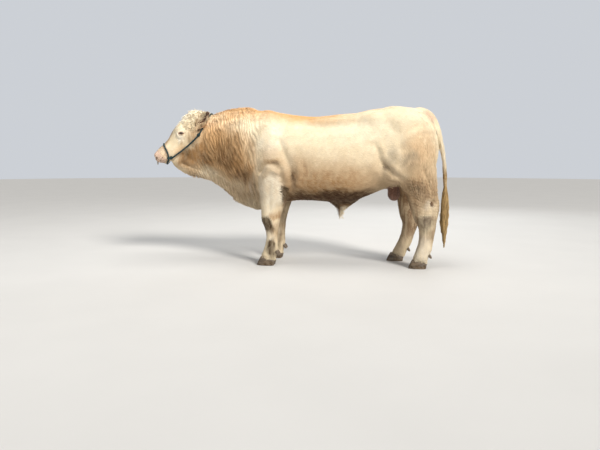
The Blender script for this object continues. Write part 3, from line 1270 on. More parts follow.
def make_hoof(name):
    """A claw or dewclaw of horn with its growth rings, wear and a rounded edge."""
    claw = from_bmesh(f"horn_{name}", welded(name))
    dew = name.startswith("dew")
    grain, turns, spacing, height = HOOF_FORM["dew" if dew else "claw"]
    apply_modifier(claw, "fine", "REMESH", mode="VOXEL", voxel_size=grain)
    ease_mesh(claw.data, turns, 0.5)
    points, normals = vertex_array(claw.data), vertex_array(claw.data, "normals")
    low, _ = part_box(name)
    wall = smoothstep(0.35, 0.75, 1 - np.abs(normals[:, 2]))
    wall = wall * smoothstep(low.z + 0.003, low.z + 0.010, points[:, 2])
    phase = (points[:, 2] + 0.12 * points[:, 0]) * 2 * math.pi / spacing
    push = wall * height * np.sin(phase + ripple(points, 0.06, 3))
    push += 0.0004 * ripple(points, 0.012, 7) * wall
    points = points + normals * push[:, None]
    points[:, 2] = np.maximum(points[:, 2], low.z)
    move_points(claw.data, points)
    smooth_faces(claw.data)
    return finish(claw, "horn", [name])


def rope_line(name, closed):
    """The middle line of a rope's solid."""
    bm = welded(name)
    bm.verts.ensure_lookup_table()
    points = np.array([v.co for v in bm.verts])
    if closed:
        middle = points.mean(axis=0)
        first, second = np.linalg.svd(points - middle, full_matrices=False)[2][:2]
        share = np.arctan2((points - middle) @ second, (points - middle) @ first) / (2 * math.pi) + 0.5
        count = 36
    else:
        far = 0
        for _ in range(2):
            reach = np.full(len(points), np.inf)
            reach[far] = 0
            front = {far}
            while front:
                following = set()
                for index in front:
                    for edge in bm.verts[index].link_edges:
                        other = edge.other_vert(bm.verts[index]).index
                        step = reach[index] + edge.calc_length()
                        if step < reach[other] - 1e-7:
                            reach[other] = step
                            following.add(other)
                front = following
            far = int(np.argmax(np.where(np.isfinite(reach), reach, -1)))
        share = reach / reach[far]
        count = 46
    bm.free()
    bins = np.minimum((share * count).astype(int), count - 1)
    line = np.array([points[bins == k].mean(axis=0) for k in range(count) if np.any(bins == k)])
    for _ in range(3):
        if closed:
            line = (np.roll(line, 1, axis=0) + 2 * line + np.roll(line, -1, axis=0)) / 4
        else:
            line[1:-1] = (line[:-2] + 2 * line[1:-1] + line[2:]) / 4
    return smooth_rows(np.vstack([line, line[:1]]) if closed else line, 5)


def twisted_rope(name, line, closed):
    """Three strands laid round the line."""
    halter = bpy.context.scene.bull_halter
    place = run_along(line)
    count = int(place[-1] / ROPE_STEP)
    even = np.linspace(0, place[-1], count)
    line = np.stack([np.interp(even, place, line[:, k]) for k in range(3)], axis=1)
    ways = unit(np.gradient(line, axis=0))
    up = np.array([0.0, 0.0, 1.0]) - ways * ways[:, 2:3]
    frames = [unit(up[:1])[0]]
    for way in ways[1:]:
        turned = frames[-1] - way * np.dot(frames[-1], way)
        frames.append(turned / np.linalg.norm(turned))
    up = np.array(frames)
    side = np.cross(ways, up)
    turns = round(place[-1] / halter.twist) if closed else place[-1] / halter.twist
    paths = []
    for k in range(3):
        angle = (even / place[-1] * turns + k / 3) * 2 * math.pi
        paths.append(line + (up * np.cos(angle)[:, None] + side * np.sin(angle)[:, None]) * halter.spread)
    paths = np.array(paths)
    radii = halter.strand * np.ones((3, count))
    if not closed:
        radii *= np.clip(np.minimum(even, place[-1] - even) / 0.004 + 0.45, 0, 1)
    sides = STRAND_SIDES
    points, faces, ring = tube_arrays(paths, radii, np.stack([up] * 3), sides)
    marks = {"along": np.tile(np.repeat(even, sides), 3)}
    patch = np.stack([marks["along"], np.tile(np.arange(sides) / sides, 3 * count)], axis=1)
    return from_arrays(name, points, faces, marks, patch, ring[faces.ravel()])


def rope_wrap(middle, way, radius, count, wire, seed):
    """Turns of rope round a crossing: close rings side by side, each a little askew."""
    rng = random.Random(seed)
    made = []
    for k in range(count):
        ring = add_ring(f"turn_{k}", radius, wire, 28, 10)
        tilt = Matrix.Rotation(rng.uniform(-0.18, 0.18), 4, "X")
        tilt = tilt @ Matrix.Rotation(rng.uniform(-0.18, 0.18), 4, "Y")
        step = (k - (count - 1) / 2) * wire * 1.75
        place = Matrix.Translation(Vector(middle) + Vector(way).normalized() * step)
        ring.data.transform(place @ turned_to(Vector(way)) @ tilt)
        made.append(ring)
    return made


def add_ring(name, radius, wire, around, about):
    """A smooth ring that lies flat at the origin."""
    only_nothing()
    bpy.ops.mesh.primitive_torus_add(
        major_radius=radius, minor_radius=wire, major_segments=around, minor_segments=about
    )
    ring = bpy.context.object
    ring.name = name
    smooth_faces(ring.data)
    return ring


def turned_to(way):
    """Turns what faces up so that it faces a way."""
    return Vector((0, 0, 1)).rotation_difference(way).to_matrix().to_4x4()


def join(name, objects):
    only(objects[0])
    for obj in objects:
        obj.select_set(True)
    bpy.ops.object.join()
    objects[0].name = name
    return objects[0]


# Finishes

class Tree:
    """Puts nodes in a tree, each with its inputs set or joined in one call."""

    def __init__(self, tree):
        self.tree = tree

    def put(self, kind, inputs=None, **settings):
        node = self.tree.nodes.new(kind)
        for key, value in settings.items():
            setattr(node, key, value)
        for key, value in (inputs or {}).items():
            if isinstance(value, bpy.types.NodeSocket):
                self.tree.links.new(value, node.inputs[key])
            else:
                node.inputs[key].default_value = value
        return node

    def math(self, operation, a, b=0.0, clamp=False):
        return self.put("ShaderNodeMath", {0: a, 1: b}, operation=operation, use_clamp=clamp).outputs[0]

    def ramp(self, value, low, high, start=0.0, end=1.0):
        inputs = {"Value": value, "From Min": low, "From Max": high, "To Min": start, "To Max": end}
        return self.put("ShaderNodeMapRange", inputs, interpolation_type="SMOOTHSTEP").outputs["Result"]

    def mix(self, factor, a, b, blend="MIX"):
        node = self.put("ShaderNodeMix", {0: factor, 6: a, 7: b}, data_type="RGBA", blend_type=blend)
        return node.outputs[2]

    def noise(self, vector, scale, detail=2.0, rough=0.5):
        inputs = {"Vector": vector, "Scale": scale, "Detail": detail, "Roughness": rough}
        return self.put("ShaderNodeTexNoise", inputs).outputs["Fac"]

    def scaled(self, vector, scale):
        return self.put("ShaderNodeMapping", {"Vector": vector, "Scale": scale}).outputs["Vector"]

    def mark(self, name, kind="Fac"):
        return self.put("ShaderNodeAttribute", attribute_name=name).outputs[kind]

    def place(self):
        return self.put("ShaderNodeTexCoord").outputs["Object"]

    def part(self, vector, axis):
        return self.put("ShaderNodeSeparateXYZ", {0: vector}).outputs[axis]

    def grain(self, fineness):
        node = self.put("ShaderNodeGroup", node_tree=hair_grain())
        node.inputs["Fineness"].default_value = fineness
        return node.outputs["Height"]

    def blend(self, factor, a, b):
        """A value between two, as mix is for colours."""
        return self.put("ShaderNodeMix", {0: factor, 2: a, 3: b}, data_type="FLOAT").outputs[0]

    def bump(self, height, strength, distance):
        inputs = {"Height": height, "Strength": strength, "Distance": distance}
        return self.put("ShaderNodeBump", inputs).outputs[0]

    def join(self, shader, **values):
        """Joins sockets to the shader's inputs of those names, or sets plain values there."""
        for key, value in values.items():
            socket = shader.inputs[key.replace("_", " ").title()]
            if isinstance(value, bpy.types.NodeSocket):
                self.tree.links.new(value, socket)
            else:
                socket.default_value = value


WANDER_SEED = 7  # noise vectors follow the clock unless they are given a seed
COAT_COLOURS = ["cream", "white", "gold", "tan", "umber", "mud", "grey", "hide"]
# Colour, strength, middle (x, distance from the middle plane, z), radii, turn about the cross axis in
# degrees, and how much of the spot is full strength
BODY_SPOTS = [
    ("white", 0.60, (-0.22, 0.30, 1.14), (0.17, 0.22, 0.22), 0, 0.3),
    ("white", 0.35, (0.55, 0.24, 1.20), (0.42, 0.25, 0.18), 0, 0.2),
    ("white", 0.40, (1.00, 0.15, 1.30), (0.22, 0.22, 0.12), 0, 0.2),
    ("gold", 0.78, (-0.52, 0.0, 1.36), (0.42, 0.28, 0.26), 0, 0.3),
    ("gold", 0.60, (-0.64, 0.24, 1.02), (0.34, 0.26, 0.34), 15, 0.3),
    ("gold", 0.62, (-0.78, 0.17, 1.20), (0.22, 0.18, 0.20), 0, 0.2),
    ("gold", 0.60, (-0.14, 0.0, 1.39), (0.40, 0.28, 0.15), 0, 0.3),
    ("gold", 0.92, (0.18, 0.08, 1.325), (0.62, 0.33, 0.135), 0, 0.10),
    ("gold", 0.40, (0.66, 0.0, 1.400), (0.42, 0.26, 0.090), 0, 0.2),
    ("tan", 0.25, (1.10, 0.20, 1.12), (0.16, 0.20, 0.24), 0, 0.2),
    ("tan", 0.90, (-0.66, 0.24, 1.02), (0.35, 0.24, 0.34), 20, 0.30),
    ("tan", 0.85, (-0.50, 0.25, 0.86), (0.17, 0.22, 0.22), 20, 0.3),
    ("umber", 0.68, (-0.66, 0.25, 0.99), (0.24, 0.20, 0.28), 20, 0.0),
    ("umber", 0.62, (-0.52, 0.20, 0.82), (0.12, 0.16, 0.16), 20, 0.1),
    ("tan", 0.50, (-0.40, 0.30, 1.05), (0.08, 0.22, 0.22), 0, 0.1),
    ("tan", 0.90, (-0.86, 0.16, 1.00), (0.15, 0.16, 0.16), 0, 0.3),
    ("umber", 0.55, (-0.86, 0.16, 0.99), (0.13, 0.16, 0.13), 0, 0.0),
    ("tan", 0.84, (0.28, 0.32, 0.715), (0.74, 0.36, 0.29), 0, 0.15),
    ("umber", 0.97, (0.30, 0.14, 0.605), (0.66, 0.34, 0.135), 0, 0.5),
    ("umber", 0.80, (0.30, 0.12, 0.590), (0.64, 0.32, 0.110), 0, 0.4),
    ("tan", 0.45, (0.08, 0.34, 0.92), (0.16, 0.20, 0.20), 0, 0.1),
    ("umber", 0.32, (0.078, 0.34, 0.86), (0.009, 0.20, 0.14), 2, 0.2),
    ("umber", 0.28, (0.118, 0.34, 0.85), (0.008, 0.20, 0.12), -2, 0.2),
    ("umber", 0.24, (0.156, 0.34, 0.84), (0.008, 0.20, 0.10), 0, 0.2),
    ("tan", 0.42, (-0.20, 0.32, 0.99), (0.20, 0.22, 0.15), 0, 0.0),
    ("tan", 0.62, (-0.19, 0.32, 0.935), (0.17, 0.20, 0.060), 10, 0.1),
    ("white", 0.85, (-0.23, 0.31, 0.66), (0.17, 0.18, 0.27), 0, 0.35),
    ("umber", 0.50, (-0.175, 0.32, 0.915), (0.105, 0.20, 0.034), 12, 0.1),
    ("umber", 0.35, (-0.145, 0.32, 0.820), (0.060, 0.20, 0.022), 35, 0.1),
    ("umber", 0.70, (-0.010, 0.30, 0.780), (0.034, 0.16, 0.120), 0, 0.1),
    ("mud", 1.00, (-0.106, 0.27, 0.665), (0.052, 0.14, 0.105), 0, 0.55),
    ("tan", 0.75, (-0.165, 0.27, 0.460), (0.075, 0.18, 0.055), 0, 0.3),
    ("tan", 0.50, (-0.20, 0.27, 0.320), (0.11, 0.18, 0.12), 0, 0.1),
    ("mud", 1.00, (-0.262, 0.27, 0.385), (0.080, 0.18, 0.094), 0, 0.65),
    ("mud", 0.92, (-0.215, 0.25, 0.180), (0.060, 0.16, 0.110), 0, 0.4),
    ("white", 0.60, (-0.25, 0.25, 0.275), (0.080, 0.16, 0.060), 0, 0.4),
    ("tan", 0.30, (1.04, 0.30, 1.02), (0.24, 0.24, 0.30), -10, 0.0),
    ("gold", 0.32, (1.08, 0.30, 1.04), (0.24, 0.24, 0.34), -10, 0.0),
    ("umber", 0.30, (1.03, 0.32, 0.885), (0.11, 0.20, 0.030), -12, 0.0),
    ("grey", 0.28, (1.09, 0.24, 1.190), (0.09, 0.20, 0.050), -30, 0.0),
    ("grey", 0.60, (0.97, 0.34, 0.96), (0.13, 0.22, 0.09), -25, 0.1),
    ("grey", 0.50, (0.84, 0.34, 1.00), (0.08, 0.20, 0.13), 0, 0.1),
    ("umber", 0.66, (0.80, 0.31, 0.885), (0.030, 0.14, 0.150), -38, 0.1),
    ("tan", 0.66, (1.07, 0.28, 0.67), (0.23, 0.24, 0.27), 0, 0.35),
    ("grey", 0.40, (1.08, 0.28, 0.64), (0.18, 0.24, 0.20), 0, 0.2),
    ("umber", 0.34, (1.03, 0.28, 0.735), (0.15, 0.22, 0.095), -12, 0.0),
    ("white", 0.45, (1.165, 0.25, 0.570), (0.075, 0.16, 0.065), 0, 0.2),
    ("umber", 0.98, (1.196, 0.25, 0.583), (0.028, 0.14, 0.036), 0, 0.55),
    ("grey", 0.88, (1.135, 0.25, 0.400), (0.120, 0.18, 0.115), 0, 0.4),
    ("umber", 0.42, (1.125, 0.25, 0.420), (0.090, 0.16, 0.080), 0, 0.0),
    ("white", 0.85, (1.120, 0.25, 0.180), (0.120, 0.20, 0.150), 0, 0.5),
    ("mud", 0.25, (1.080, 0.25, 0.075), (0.120, 0.20, 0.040), 0, 0.2),
    ("hide", 0.66, (1.150, 0.06, 1.325), (0.120, 0.120, 0.105), 30, 0.1),
    ("umber", 0.65, (1.110, 0.065, 1.320), (0.020, 0.035, 0.060), -52, 0.1),
    ("umber", 0.85, (1.165, 0.062, 1.260), (0.024, 0.038, 0.068), -36, 0.2),
    ("umber", 0.90, (1.208, 0.060, 1.190), (0.026, 0.038, 0.072), -24, 0.3),
    ("umber", 0.90, (1.234, 0.058, 1.120), (0.028, 0.036, 0.078), -15, 0.3),
    ("umber", 0.80, (1.248, 0.056, 1.040), (0.030, 0.034, 0.095), -8, 0.1),
    ("white", 0.60, (1.300, 0.0, 1.000), (0.060, 0.060, 0.30), 0, 0.3),
    ("tan", 0.60, (0.410, 0.0, 0.540), (0.08, 0.08, 0.05), 0, 0.3),
    ("white", 0.55, (0.405, 0.0, 0.505), (0.05, 0.07, 0.045), 0, 0.4),
    ("umber", 0.90, (0.372, 0.0, 0.500), (0.026, 0.05, 0.080), 0, 0.4),
    ("white", 0.30, (-0.84, 0.0, 0.85), (0.30, 0.16, 0.050), -14, 0.2),
    ("white", 0.60, (-0.430, 0.20, 0.740), (0.026, 0.18, 0.180), 4, 0.0),
    ("tan", 0.55, (-0.430, 0.22, 0.800), (0.090, 0.20, 0.200), 4, 0.0),
    ("umber", 0.62, (-0.478, 0.20, 0.740), (0.024, 0.18, 0.150), 4, 0.0),
    ("umber", 0.45, (-0.385, 0.22, 0.740), (0.018, 0.18, 0.130), 4, 0.0),
]
# The middle and the radii of the specks of mud above the hock
GASKIN_SPECKS = (np.array([1.03, 0.28, 0.72]), np.array([0.13, 0.20, 0.10]))
# The head's spots, in its own frame
HEAD_SPOTS = [
    ("white", 0.60, (0.020, 0.0, -0.040), (0.20, 0.17, 0.17), 0, 0.4),
    ("white", 1.00, (0.160, 0.0, 0.000), (0.13, 0.15, 0.10), 0, 0.5),
    ("white", 0.70, (0.230, 0.11, -0.060), (0.10, 0.06, 0.07), 0, 0.3),
    ("white", 0.95, (0.268, 0.115, -0.100), (0.050, 0.05, 0.036), 0, 0.5),
    ("tan", 0.70, (0.165, 0.12, -0.170), (0.14, 0.07, 0.10), 0, 0.2),
    ("gold", 0.40, (0.340, 0.090, -0.145), (0.110, 0.07, 0.050), -14, 0.2),
    ("tan", 0.70, (0.285, 0.105, -0.120), (0.042, 0.05, 0.018), 28, 0.2),
    ("tan", 0.80, (0.330, 0.0, 0.000), (0.190, 0.084, 0.064), 0, 0.45),
    ("hide", 0.34, (0.490, 0.05, -0.045), (0.120, 0.11, 0.100), 0, 0.4),
    ("grey", 0.16, (0.480, 0.05, -0.045), (0.100, 0.10, 0.090), 0, 0.3),
    ("tan", 0.95, (0.355, 0.07, -0.240), (0.155, 0.13, 0.105), -12, 0.5),
    ("umber", 0.50, (0.360, 0.06, -0.235), (0.135, 0.12, 0.075), -12, 0.1),
    ("tan", 0.50, (0.400, 0.06, -0.340), (0.150, 0.13, 0.070), 0, 0.3),
    ("tan", 0.90, (0.200, 0.06, -0.270), (0.26, 0.16, 0.10), 0, 0.5),
    ("umber", 0.45, (0.120, 0.10, -0.260), (0.12, 0.10, 0.07), 0, 0.1),
    ("gold", 0.45, (0.205, 0.09, -0.030), (0.040, 0.04, 0.016), 0, 0.2),
    ("umber", 0.85, (0.068, 0.142, -0.163), (0.060, 0.040, 0.030), 20, 0.4),
    ("umber", 0.95, (0.541, 0.044, -0.030), (0.020, 0.015, 0.015), 0, 0.3),
    ("umber", 0.45, (0.283, 0.12, -0.044), (0.018, 0.05, 0.007), 40, 0.1),
]


def marking_tones(points):
    """The coat's colour and its dirt by place, the same for hide and hair."""
    colours = bpy.context.scene.bull_colours
    tones = {name: np.array(getattr(colours, name)) for name in COAT_COLOURS}
    grown = np.array([1.0, 1.0, 0.2])
    noise.seed_set(WANDER_SEED)
    wander = np.array([noise.noise_vector(p) for p in points * 9.0])
    wander = 0.034 * (wander + 0.5 * np.array([noise.noise_vector(p) for p in points * 23.0]))
    streak = smoothstep(-0.35, 0.35, np.array([noise.fractal(p, 0.6, 2.0, 4) for p in points * 46.0 * grown]))
    speck = smoothstep(0.02, 0.22, np.array([noise.noise(p) for p in points * 130.0]))
    body, head = points + wander, to_head(points) + 0.35 * wander
    body[:, 1], head[:, 1] = np.abs(body[:, 1]), np.abs(head[:, 1])
    colour = tones["cream"] + (tones["white"] - tones["cream"]) * (0.22 * streak)[:, None]
    x, y, z = body.T
    dirt = np.zeros(len(points))

    def blend(name, share):
        nonlocal colour
        colour = colour + (tones[name] - colour) * np.clip(share, 0, 1)[:, None]

    blend("tan", 0.46 * smoothstep(1.15, 0.74, z) * (0.12 + 0.88 * smoothstep(0.54, 0.66, z)))
    for spots, source in ((BODY_SPOTS, body), (HEAD_SPOTS, head)):
        for name, strength, middle, radii, lean, full in spots:
            offset = source - np.array(middle)
            turn = math.radians(lean)
            across = offset[:, 0] * math.cos(turn) - offset[:, 2] * math.sin(turn)
            up = offset[:, 0] * math.sin(turn) + offset[:, 2] * math.cos(turn)
            reach = np.sqrt((across / radii[0]) ** 2 + (offset[:, 1] / radii[1]) ** 2 + (up / radii[2]) ** 2)
            share = strength * smoothstep(1.0, full, reach)
            if name != "gold":
                lowest = 0.82 if name == "mud" else 0.66
                share = share * (lowest + (1.10 - lowest) * streak)
            if name in ("mud", "grey"):
                dirt = np.maximum(dirt, share)
            blend(name, share)
    middle, radii = GASKIN_SPECKS
    blend("mud", 0.75 * speck * smoothstep(1.0, 0.2, np.linalg.norm((body - middle) / radii, axis=1)))
    inner = smoothstep(0.272, 0.180, y) * smoothstep(0.76, 0.62, z) * (0.42 + 0.54 * smoothstep(0.2, 0.6, x))
    inner *= (0.22 + 0.78 * smoothstep(0.08, 0.36, z)) * smoothstep(0.30, 0.48, np.abs(x - 0.37))
    inner *= 0.55 + 0.45 * streak
    blend("tan", 0.75 * inner)
    blend("umber", 0.60 * inner)
    return colour, dirt


# Small tones of the finishes, as linear colours
TONES = {
    "hair_shade": (0.42, 0.32, 0.22), "scrotum": (0.16, 0.075, 0.045), "blotch": (0.42, 0.24, 0.18),
    "hollow": (0.030, 0.012, 0.008), "ear_deep": (0.070, 0.034, 0.022), "ear_flesh": (0.22, 0.11, 0.07),
    "ear_rim": (0.52, 0.31, 0.22), "ear_back": (0.50, 0.32, 0.18), "horn_dark": (0.055, 0.040, 0.028),
    "horn_pale": (0.40, 0.31, 0.22), "dewclaw": (0.12, 0.09, 0.06), "iris_dark": (0.075, 0.036, 0.016),
    "pupil": (0.004, 0.004, 0.006), "eye_white": (0.33, 0.22, 0.15), "eye_corner": (0.13, 0.075, 0.045),
    "rope_dark": (0.006, 0.012, 0.013), "rope_worn": (0.20, 0.22, 0.18), "steel_dull": (0.20, 0.17, 0.13),
}


def hair_grain():
    """Short flat hair as relief: fine lines that run down the legs and back along the body."""
    if "hair grain" in bpy.data.node_groups:
        return bpy.data.node_groups["hair grain"]
    group = bpy.data.node_groups.new("hair grain", "ShaderNodeTree")
    group.interface.new_socket(name="Fineness", in_out="INPUT", socket_type="NodeSocketFloat")
    group.interface.new_socket(name="Height", in_out="OUTPUT", socket_type="NodeSocketFloat")
    tree = Tree(group)
    given = tree.put("NodeGroupInput").outputs["Fineness"]
    place = tree.place()
    x, z = tree.part(place, "X"), tree.part(place, "Z")
    place = tree.put("ShaderNodeVectorMath", {0: place, "Scale": given}, operation="SCALE").outputs[0]
    lower = tree.math("MAXIMUM", tree.ramp(z, 0.66, 0.54), tree.ramp(x, -0.20, -0.40))
    lower = tree.math("MAXIMUM", lower, tree.ramp(x, 0.85, 1.05))
    along = tree.noise(tree.scaled(place, (70.0, 300.0, 240.0)), 1.0, 3.0, 0.7)
    down = tree.noise(tree.scaled(place, (300.0, 300.0, 60.0)), 1.0, 3.0, 0.7)
    tree.put("NodeGroupOutput", {"Height": tree.blend(lower, along, down)})
    return group


def new_finish(name):
    """A material with its nodes and its shader."""
    material = bpy.data.materials.new(name)
    material.use_nodes = True
    return material, Tree(material.node_tree), material.node_tree.nodes["Principled BSDF"]


def colour_of(name):
    """One of the tones above, or else one of the colours that the user can set."""
    chosen = TONES[name] if name in TONES else getattr(bpy.context.scene.bull_colours, name)
    return (*chosen, 1.0)


def hair_strength(tree, colour):
    """Darkens a hair's root and pales its tip, and lets neighbouring tufts differ."""
    deep = tree.ramp(tree.mark("along"), 0.0, 0.9, 0.88, 1.04)
    both = tree.math("MULTIPLY", deep, tree.ramp(tree.mark("shade"), -1.2, 1.2, 0.80, 1.12))
    inputs = {0: both, 1: tree.math("POWER", both, 1.12), 2: tree.math("POWER", both, 1.3)}
    warm = tree.put("ShaderNodeCombineColor", inputs).outputs[0]
    return tree.mix(1.0, colour, warm, "MULTIPLY")


def coat_finish(name):
    material, tree, shader = new_finish(name)
    colour = hair_strength(tree, tree.mark("tone", "Color"))
    rough = tree.ramp(tree.mark("dirt"), 0.0, 1.0, 0.62, 0.88)
    tree.join(shader, base_color=colour, roughness=rough, normal=tree.bump(tree.grain(2.2), 0.5, 0.0012))
    shader.inputs["Specular IOR Level"].default_value = 0.30
    return material


def hide_finish(name):
    material, tree, shader = new_finish(name)
    place, grain, bare = tree.place(), tree.grain(1.0), tree.mark("bare")
    coat = tree.ramp(grain, 0.3, 0.7, 0.16, 0.0)
    coat = tree.mix(coat, tree.mark("tone", "Color"), colour_of("hair_shade"), "MULTIPLY")
    coat = tree.mix(0.06, coat, colour_of("hair_shade"), "MULTIPLY")
    inputs = {"Vector": place, "Location": HEAD_ORIGIN[:], "Rotation": HEAD.to_euler()}
    head = tree.put("ShaderNodeMapping", inputs, vector_type="TEXTURE").outputs["Vector"]
    nose = tree.ramp(tree.part(head, "X"), 0.42, 0.46)
    hide = tree.mix(nose, colour_of("hide"), colour_of("muzzle"))
    hide = tree.mix(tree.ramp(tree.part(place, "X"), 0.0, 0.2), hide, colour_of("scrotum"))
    blotch = tree.noise(place, 70.0, 3.0, 0.6)
    hide = tree.mix(tree.ramp(blotch, 0.45, 0.70, 0.0, 0.45), hide, colour_of("blotch"))
    hide = tree.mix(tree.mark("hollow"), hide, colour_of("hollow"))
    cells = tree.put("ShaderNodeTexVoronoi", {"Vector": place, "Scale": 420.0}, feature="DISTANCE_TO_EDGE")
    pebble = tree.ramp(cells.outputs["Distance"], 0.0, 0.16)
    pebble = tree.math("ADD", pebble, tree.math("MULTIPLY", blotch, 1.2))
    relief = tree.bump(tree.blend(bare, grain, pebble), 0.55, 0.0022)
    rough = tree.ramp(bare, 0.0, 1.0, 0.85, 0.50)
    tree.join(shader, base_color=tree.mix(bare, coat, hide), roughness=rough, normal=relief)
    return material


def ear_finish(name):
    material, tree, shader = new_finish(name)
    place, cup = tree.place(), tree.mark("cup")
    inner = tree.ramp(tree.noise(place, 60.0, 3.0), 0.35, 0.65)
    inner = tree.mix(inner, colour_of("ear_deep"), colour_of("ear_flesh"))
    inner = tree.mix(tree.mark("rim"), inner, colour_of("ear_rim"))
    back = tree.mix(0.35, tree.mark("tone", "Color"), colour_of("ear_back"))
    rough = tree.ramp(cup, 0.0, 1.0, 0.8, 0.6)
    relief = tree.bump(tree.noise(place, 420.0, 2.0), 0.4, 0.001)
    tree.join(shader, base_color=tree.mix(cup, back, inner), roughness=rough, normal=relief)
    return material


def switch_finish(name):
    material, tree, shader = new_finish(name)
    place = tree.place()
    streak = tree.noise(tree.scaled(place, (120.0, 120.0, 14.0)), 1.0, 3.0, 0.6)
    colour = tree.mix(tree.ramp(streak, 0.35, 0.75, 0.0, 0.75), colour_of("switch"), colour_of("umber"))
    colour = tree.mix(tree.ramp(tree.part(place, "Z"), 0.80, 0.95), colour, colour_of("cream"))
    relief = tree.bump(streak, 0.4, 0.0015)
    tree.join(shader, base_color=hair_strength(tree, colour), roughness=0.50, normal=relief)
    return material


def horn_finish(name):
    material, tree, shader = new_finish(name)
    place = tree.place()
    height = tree.part(place, "Z")
    rings = tree.noise(tree.scaled(place, (9.0, 9.0, 150.0)), 1.0, 3.0, 0.6)
    colour = tree.mix(tree.ramp(rings, 0.35, 0.65), colour_of("horn"), colour_of("horn_dark"))
    colour = tree.mix(tree.ramp(height, 0.045, 0.080, 0.0, 0.30), colour, colour_of("horn_pale"))
    colour = tree.mix(tree.ramp(height, 0.090, 0.110, 0.0, 0.75), colour, colour_of("dewclaw"))
    mud = tree.ramp(tree.noise(place, 38.0, 5.0, 0.65), 0.48, 0.60)
    mud = tree.math("MULTIPLY", mud, tree.ramp(height, 0.075, 0.0, 0.35, 1.0))
    colour = tree.mix(mud, colour, colour_of("mud"))
    lines = tree.noise(tree.scaled(place, (320.0, 320.0, 30.0)), 1.0, 2.0)
    relief = tree.math("ADD", rings, tree.math("MULTIPLY", lines, 0.5))
    relief = tree.bump(tree.math("ADD", relief, tree.math("MULTIPLY", mud, 0.6)), 0.5, 0.0015)
    tree.join(shader, base_color=colour, roughness=tree.ramp(mud, 0.0, 1.0, 0.42, 0.90), normal=relief)
    return material


def eye_finish(name):
    """Pupil, iris and white by the ball's own map, whose top is the pole that looks out."""
    material, tree, shader = new_finish(name)
    uv = tree.put("ShaderNodeUVMap", uv_map="UVMap").outputs["UV"]
    down = tree.math("SUBTRACT", 1.0, tree.part(uv, "Y"))
    turn = tree.math("MULTIPLY", tree.part(uv, "X"), 2 * math.pi)
    across = tree.math("MULTIPLY", down, tree.math("COSINE", turn))
    tall = tree.math("MULTIPLY", tree.math("MULTIPLY", down, tree.math("SINE", turn)), 1.7)
    point = tree.put("ShaderNodeCombineXYZ", {0: across, 1: tall, 2: 0.0}).outputs[0]
    pupil = tree.put("ShaderNodeVectorMath", {0: point}, operation="LENGTH").outputs["Value"]
    point = tree.put("ShaderNodeCombineXYZ", {0: turn, 1: tree.math("MULTIPLY", down, 3.0)}).outputs[0]
    threads = tree.ramp(tree.noise(point, 9.0, 3.0), 0.35, 0.65)
    iris = tree.mix(threads, colour_of("iris"), colour_of("iris_dark"))
    iris = tree.mix(tree.ramp(pupil, 0.125, 0.105), iris, colour_of("pupil"))
    white = tree.ramp(tree.noise(uv, 30.0, 3.0), 0.4, 0.7)
    white = tree.mix(white, colour_of("eye_white"), colour_of("eye_corner"))
    ball = tree.mix(tree.ramp(down, 0.215, 0.250), iris, white)
    tree.join(shader, base_color=ball, roughness=0.08, coat_weight=0.7)
    return material


def rope_finish(name):
    material, tree, shader = new_finish(name)
    place = tree.place()
    fibre = tree.noise(place, 700.0, 3.0, 0.7)
    colour = tree.mix(tree.ramp(fibre, 0.35, 0.70), colour_of("rope"), colour_of("rope_dark"))
    worn = tree.ramp(tree.noise(place, 24.0, 3.0), 0.55, 0.75, 0.0, 0.45)
    colour = tree.mix(worn, colour, colour_of("rope_worn"))
    tree.join(shader, base_color=colour, roughness=0.78, normal=tree.bump(fibre, 0.6, 0.0012))
    return material


def steel_finish(name):
    material, tree, shader = new_finish(name)
    dull = tree.noise(tree.place(), 160.0, 4.0, 0.6)
    colour = tree.mix(tree.ramp(dull, 0.45, 0.70), colour_of("steel"), colour_of("steel_dull"))
    rough = tree.ramp(dull, 0.35, 0.70, 0.22, 0.50)
    relief = tree.bump(dull, 0.15, 0.0005)
    tree.join(shader, base_color=colour, roughness=rough, metallic=1.0, normal=relief)
    return material


def floor_finish(name):
    material, tree, shader = new_finish(name)
    pale = bpy.context.scene.bull_stage.floor
    cloud = tree.ramp(tree.noise(tree.place(), 1.5, 4.0), 0.3, 0.7, 0.0, 0.25)
    colour = tree.mix(cloud, (*pale, 1.0), (*(v * 0.9 for v in pale), 1.0))
    tree.join(shader, base_color=colour, roughness=0.85)
    return material


# Each finish's material and what makes it
FINISHES = {
    "coat": ("coat hair", coat_finish), "hide": ("hide", hide_finish), "ear": ("ear", ear_finish),
    "long_hair": ("tail hair", switch_finish), "horn": ("hoof horn", horn_finish),
    "eye": ("eyeball", eye_finish), "rope": ("halter rope", rope_finish),
    "steel": ("ring steel", steel_finish),
}

# The axes that the coat's maps are wrapped round, start and end
HEAD_AXIS = tuple(HEAD_ORIGIN + HEAD_AXES @ np.array(end) for end in ([-0.02, 0, -0.11], [0.50, 0, -0.08]))
TRUNK_AXIS = ((-0.35, 0.0, 1.00), (1.00, 0.0, 1.05))
NECK_AXIS = ((-0.85, -0.02, 1.12), (-0.35, 0.0, 1.05))
TAIL_AXIS = ((1.22, 0.0, 1.30), (1.31, 0.0, 0.90))
LEG_AXES = {"fore": (-0.22, 0.24), "hind": (1.12, 0.24)}
LEG_ENDS = (0.10, 0.60)
TRUNK_SPANS = (("front", -0.30, 0.20), ("middle", 0.20, 0.70), ("rear", 0.70, 9.0))


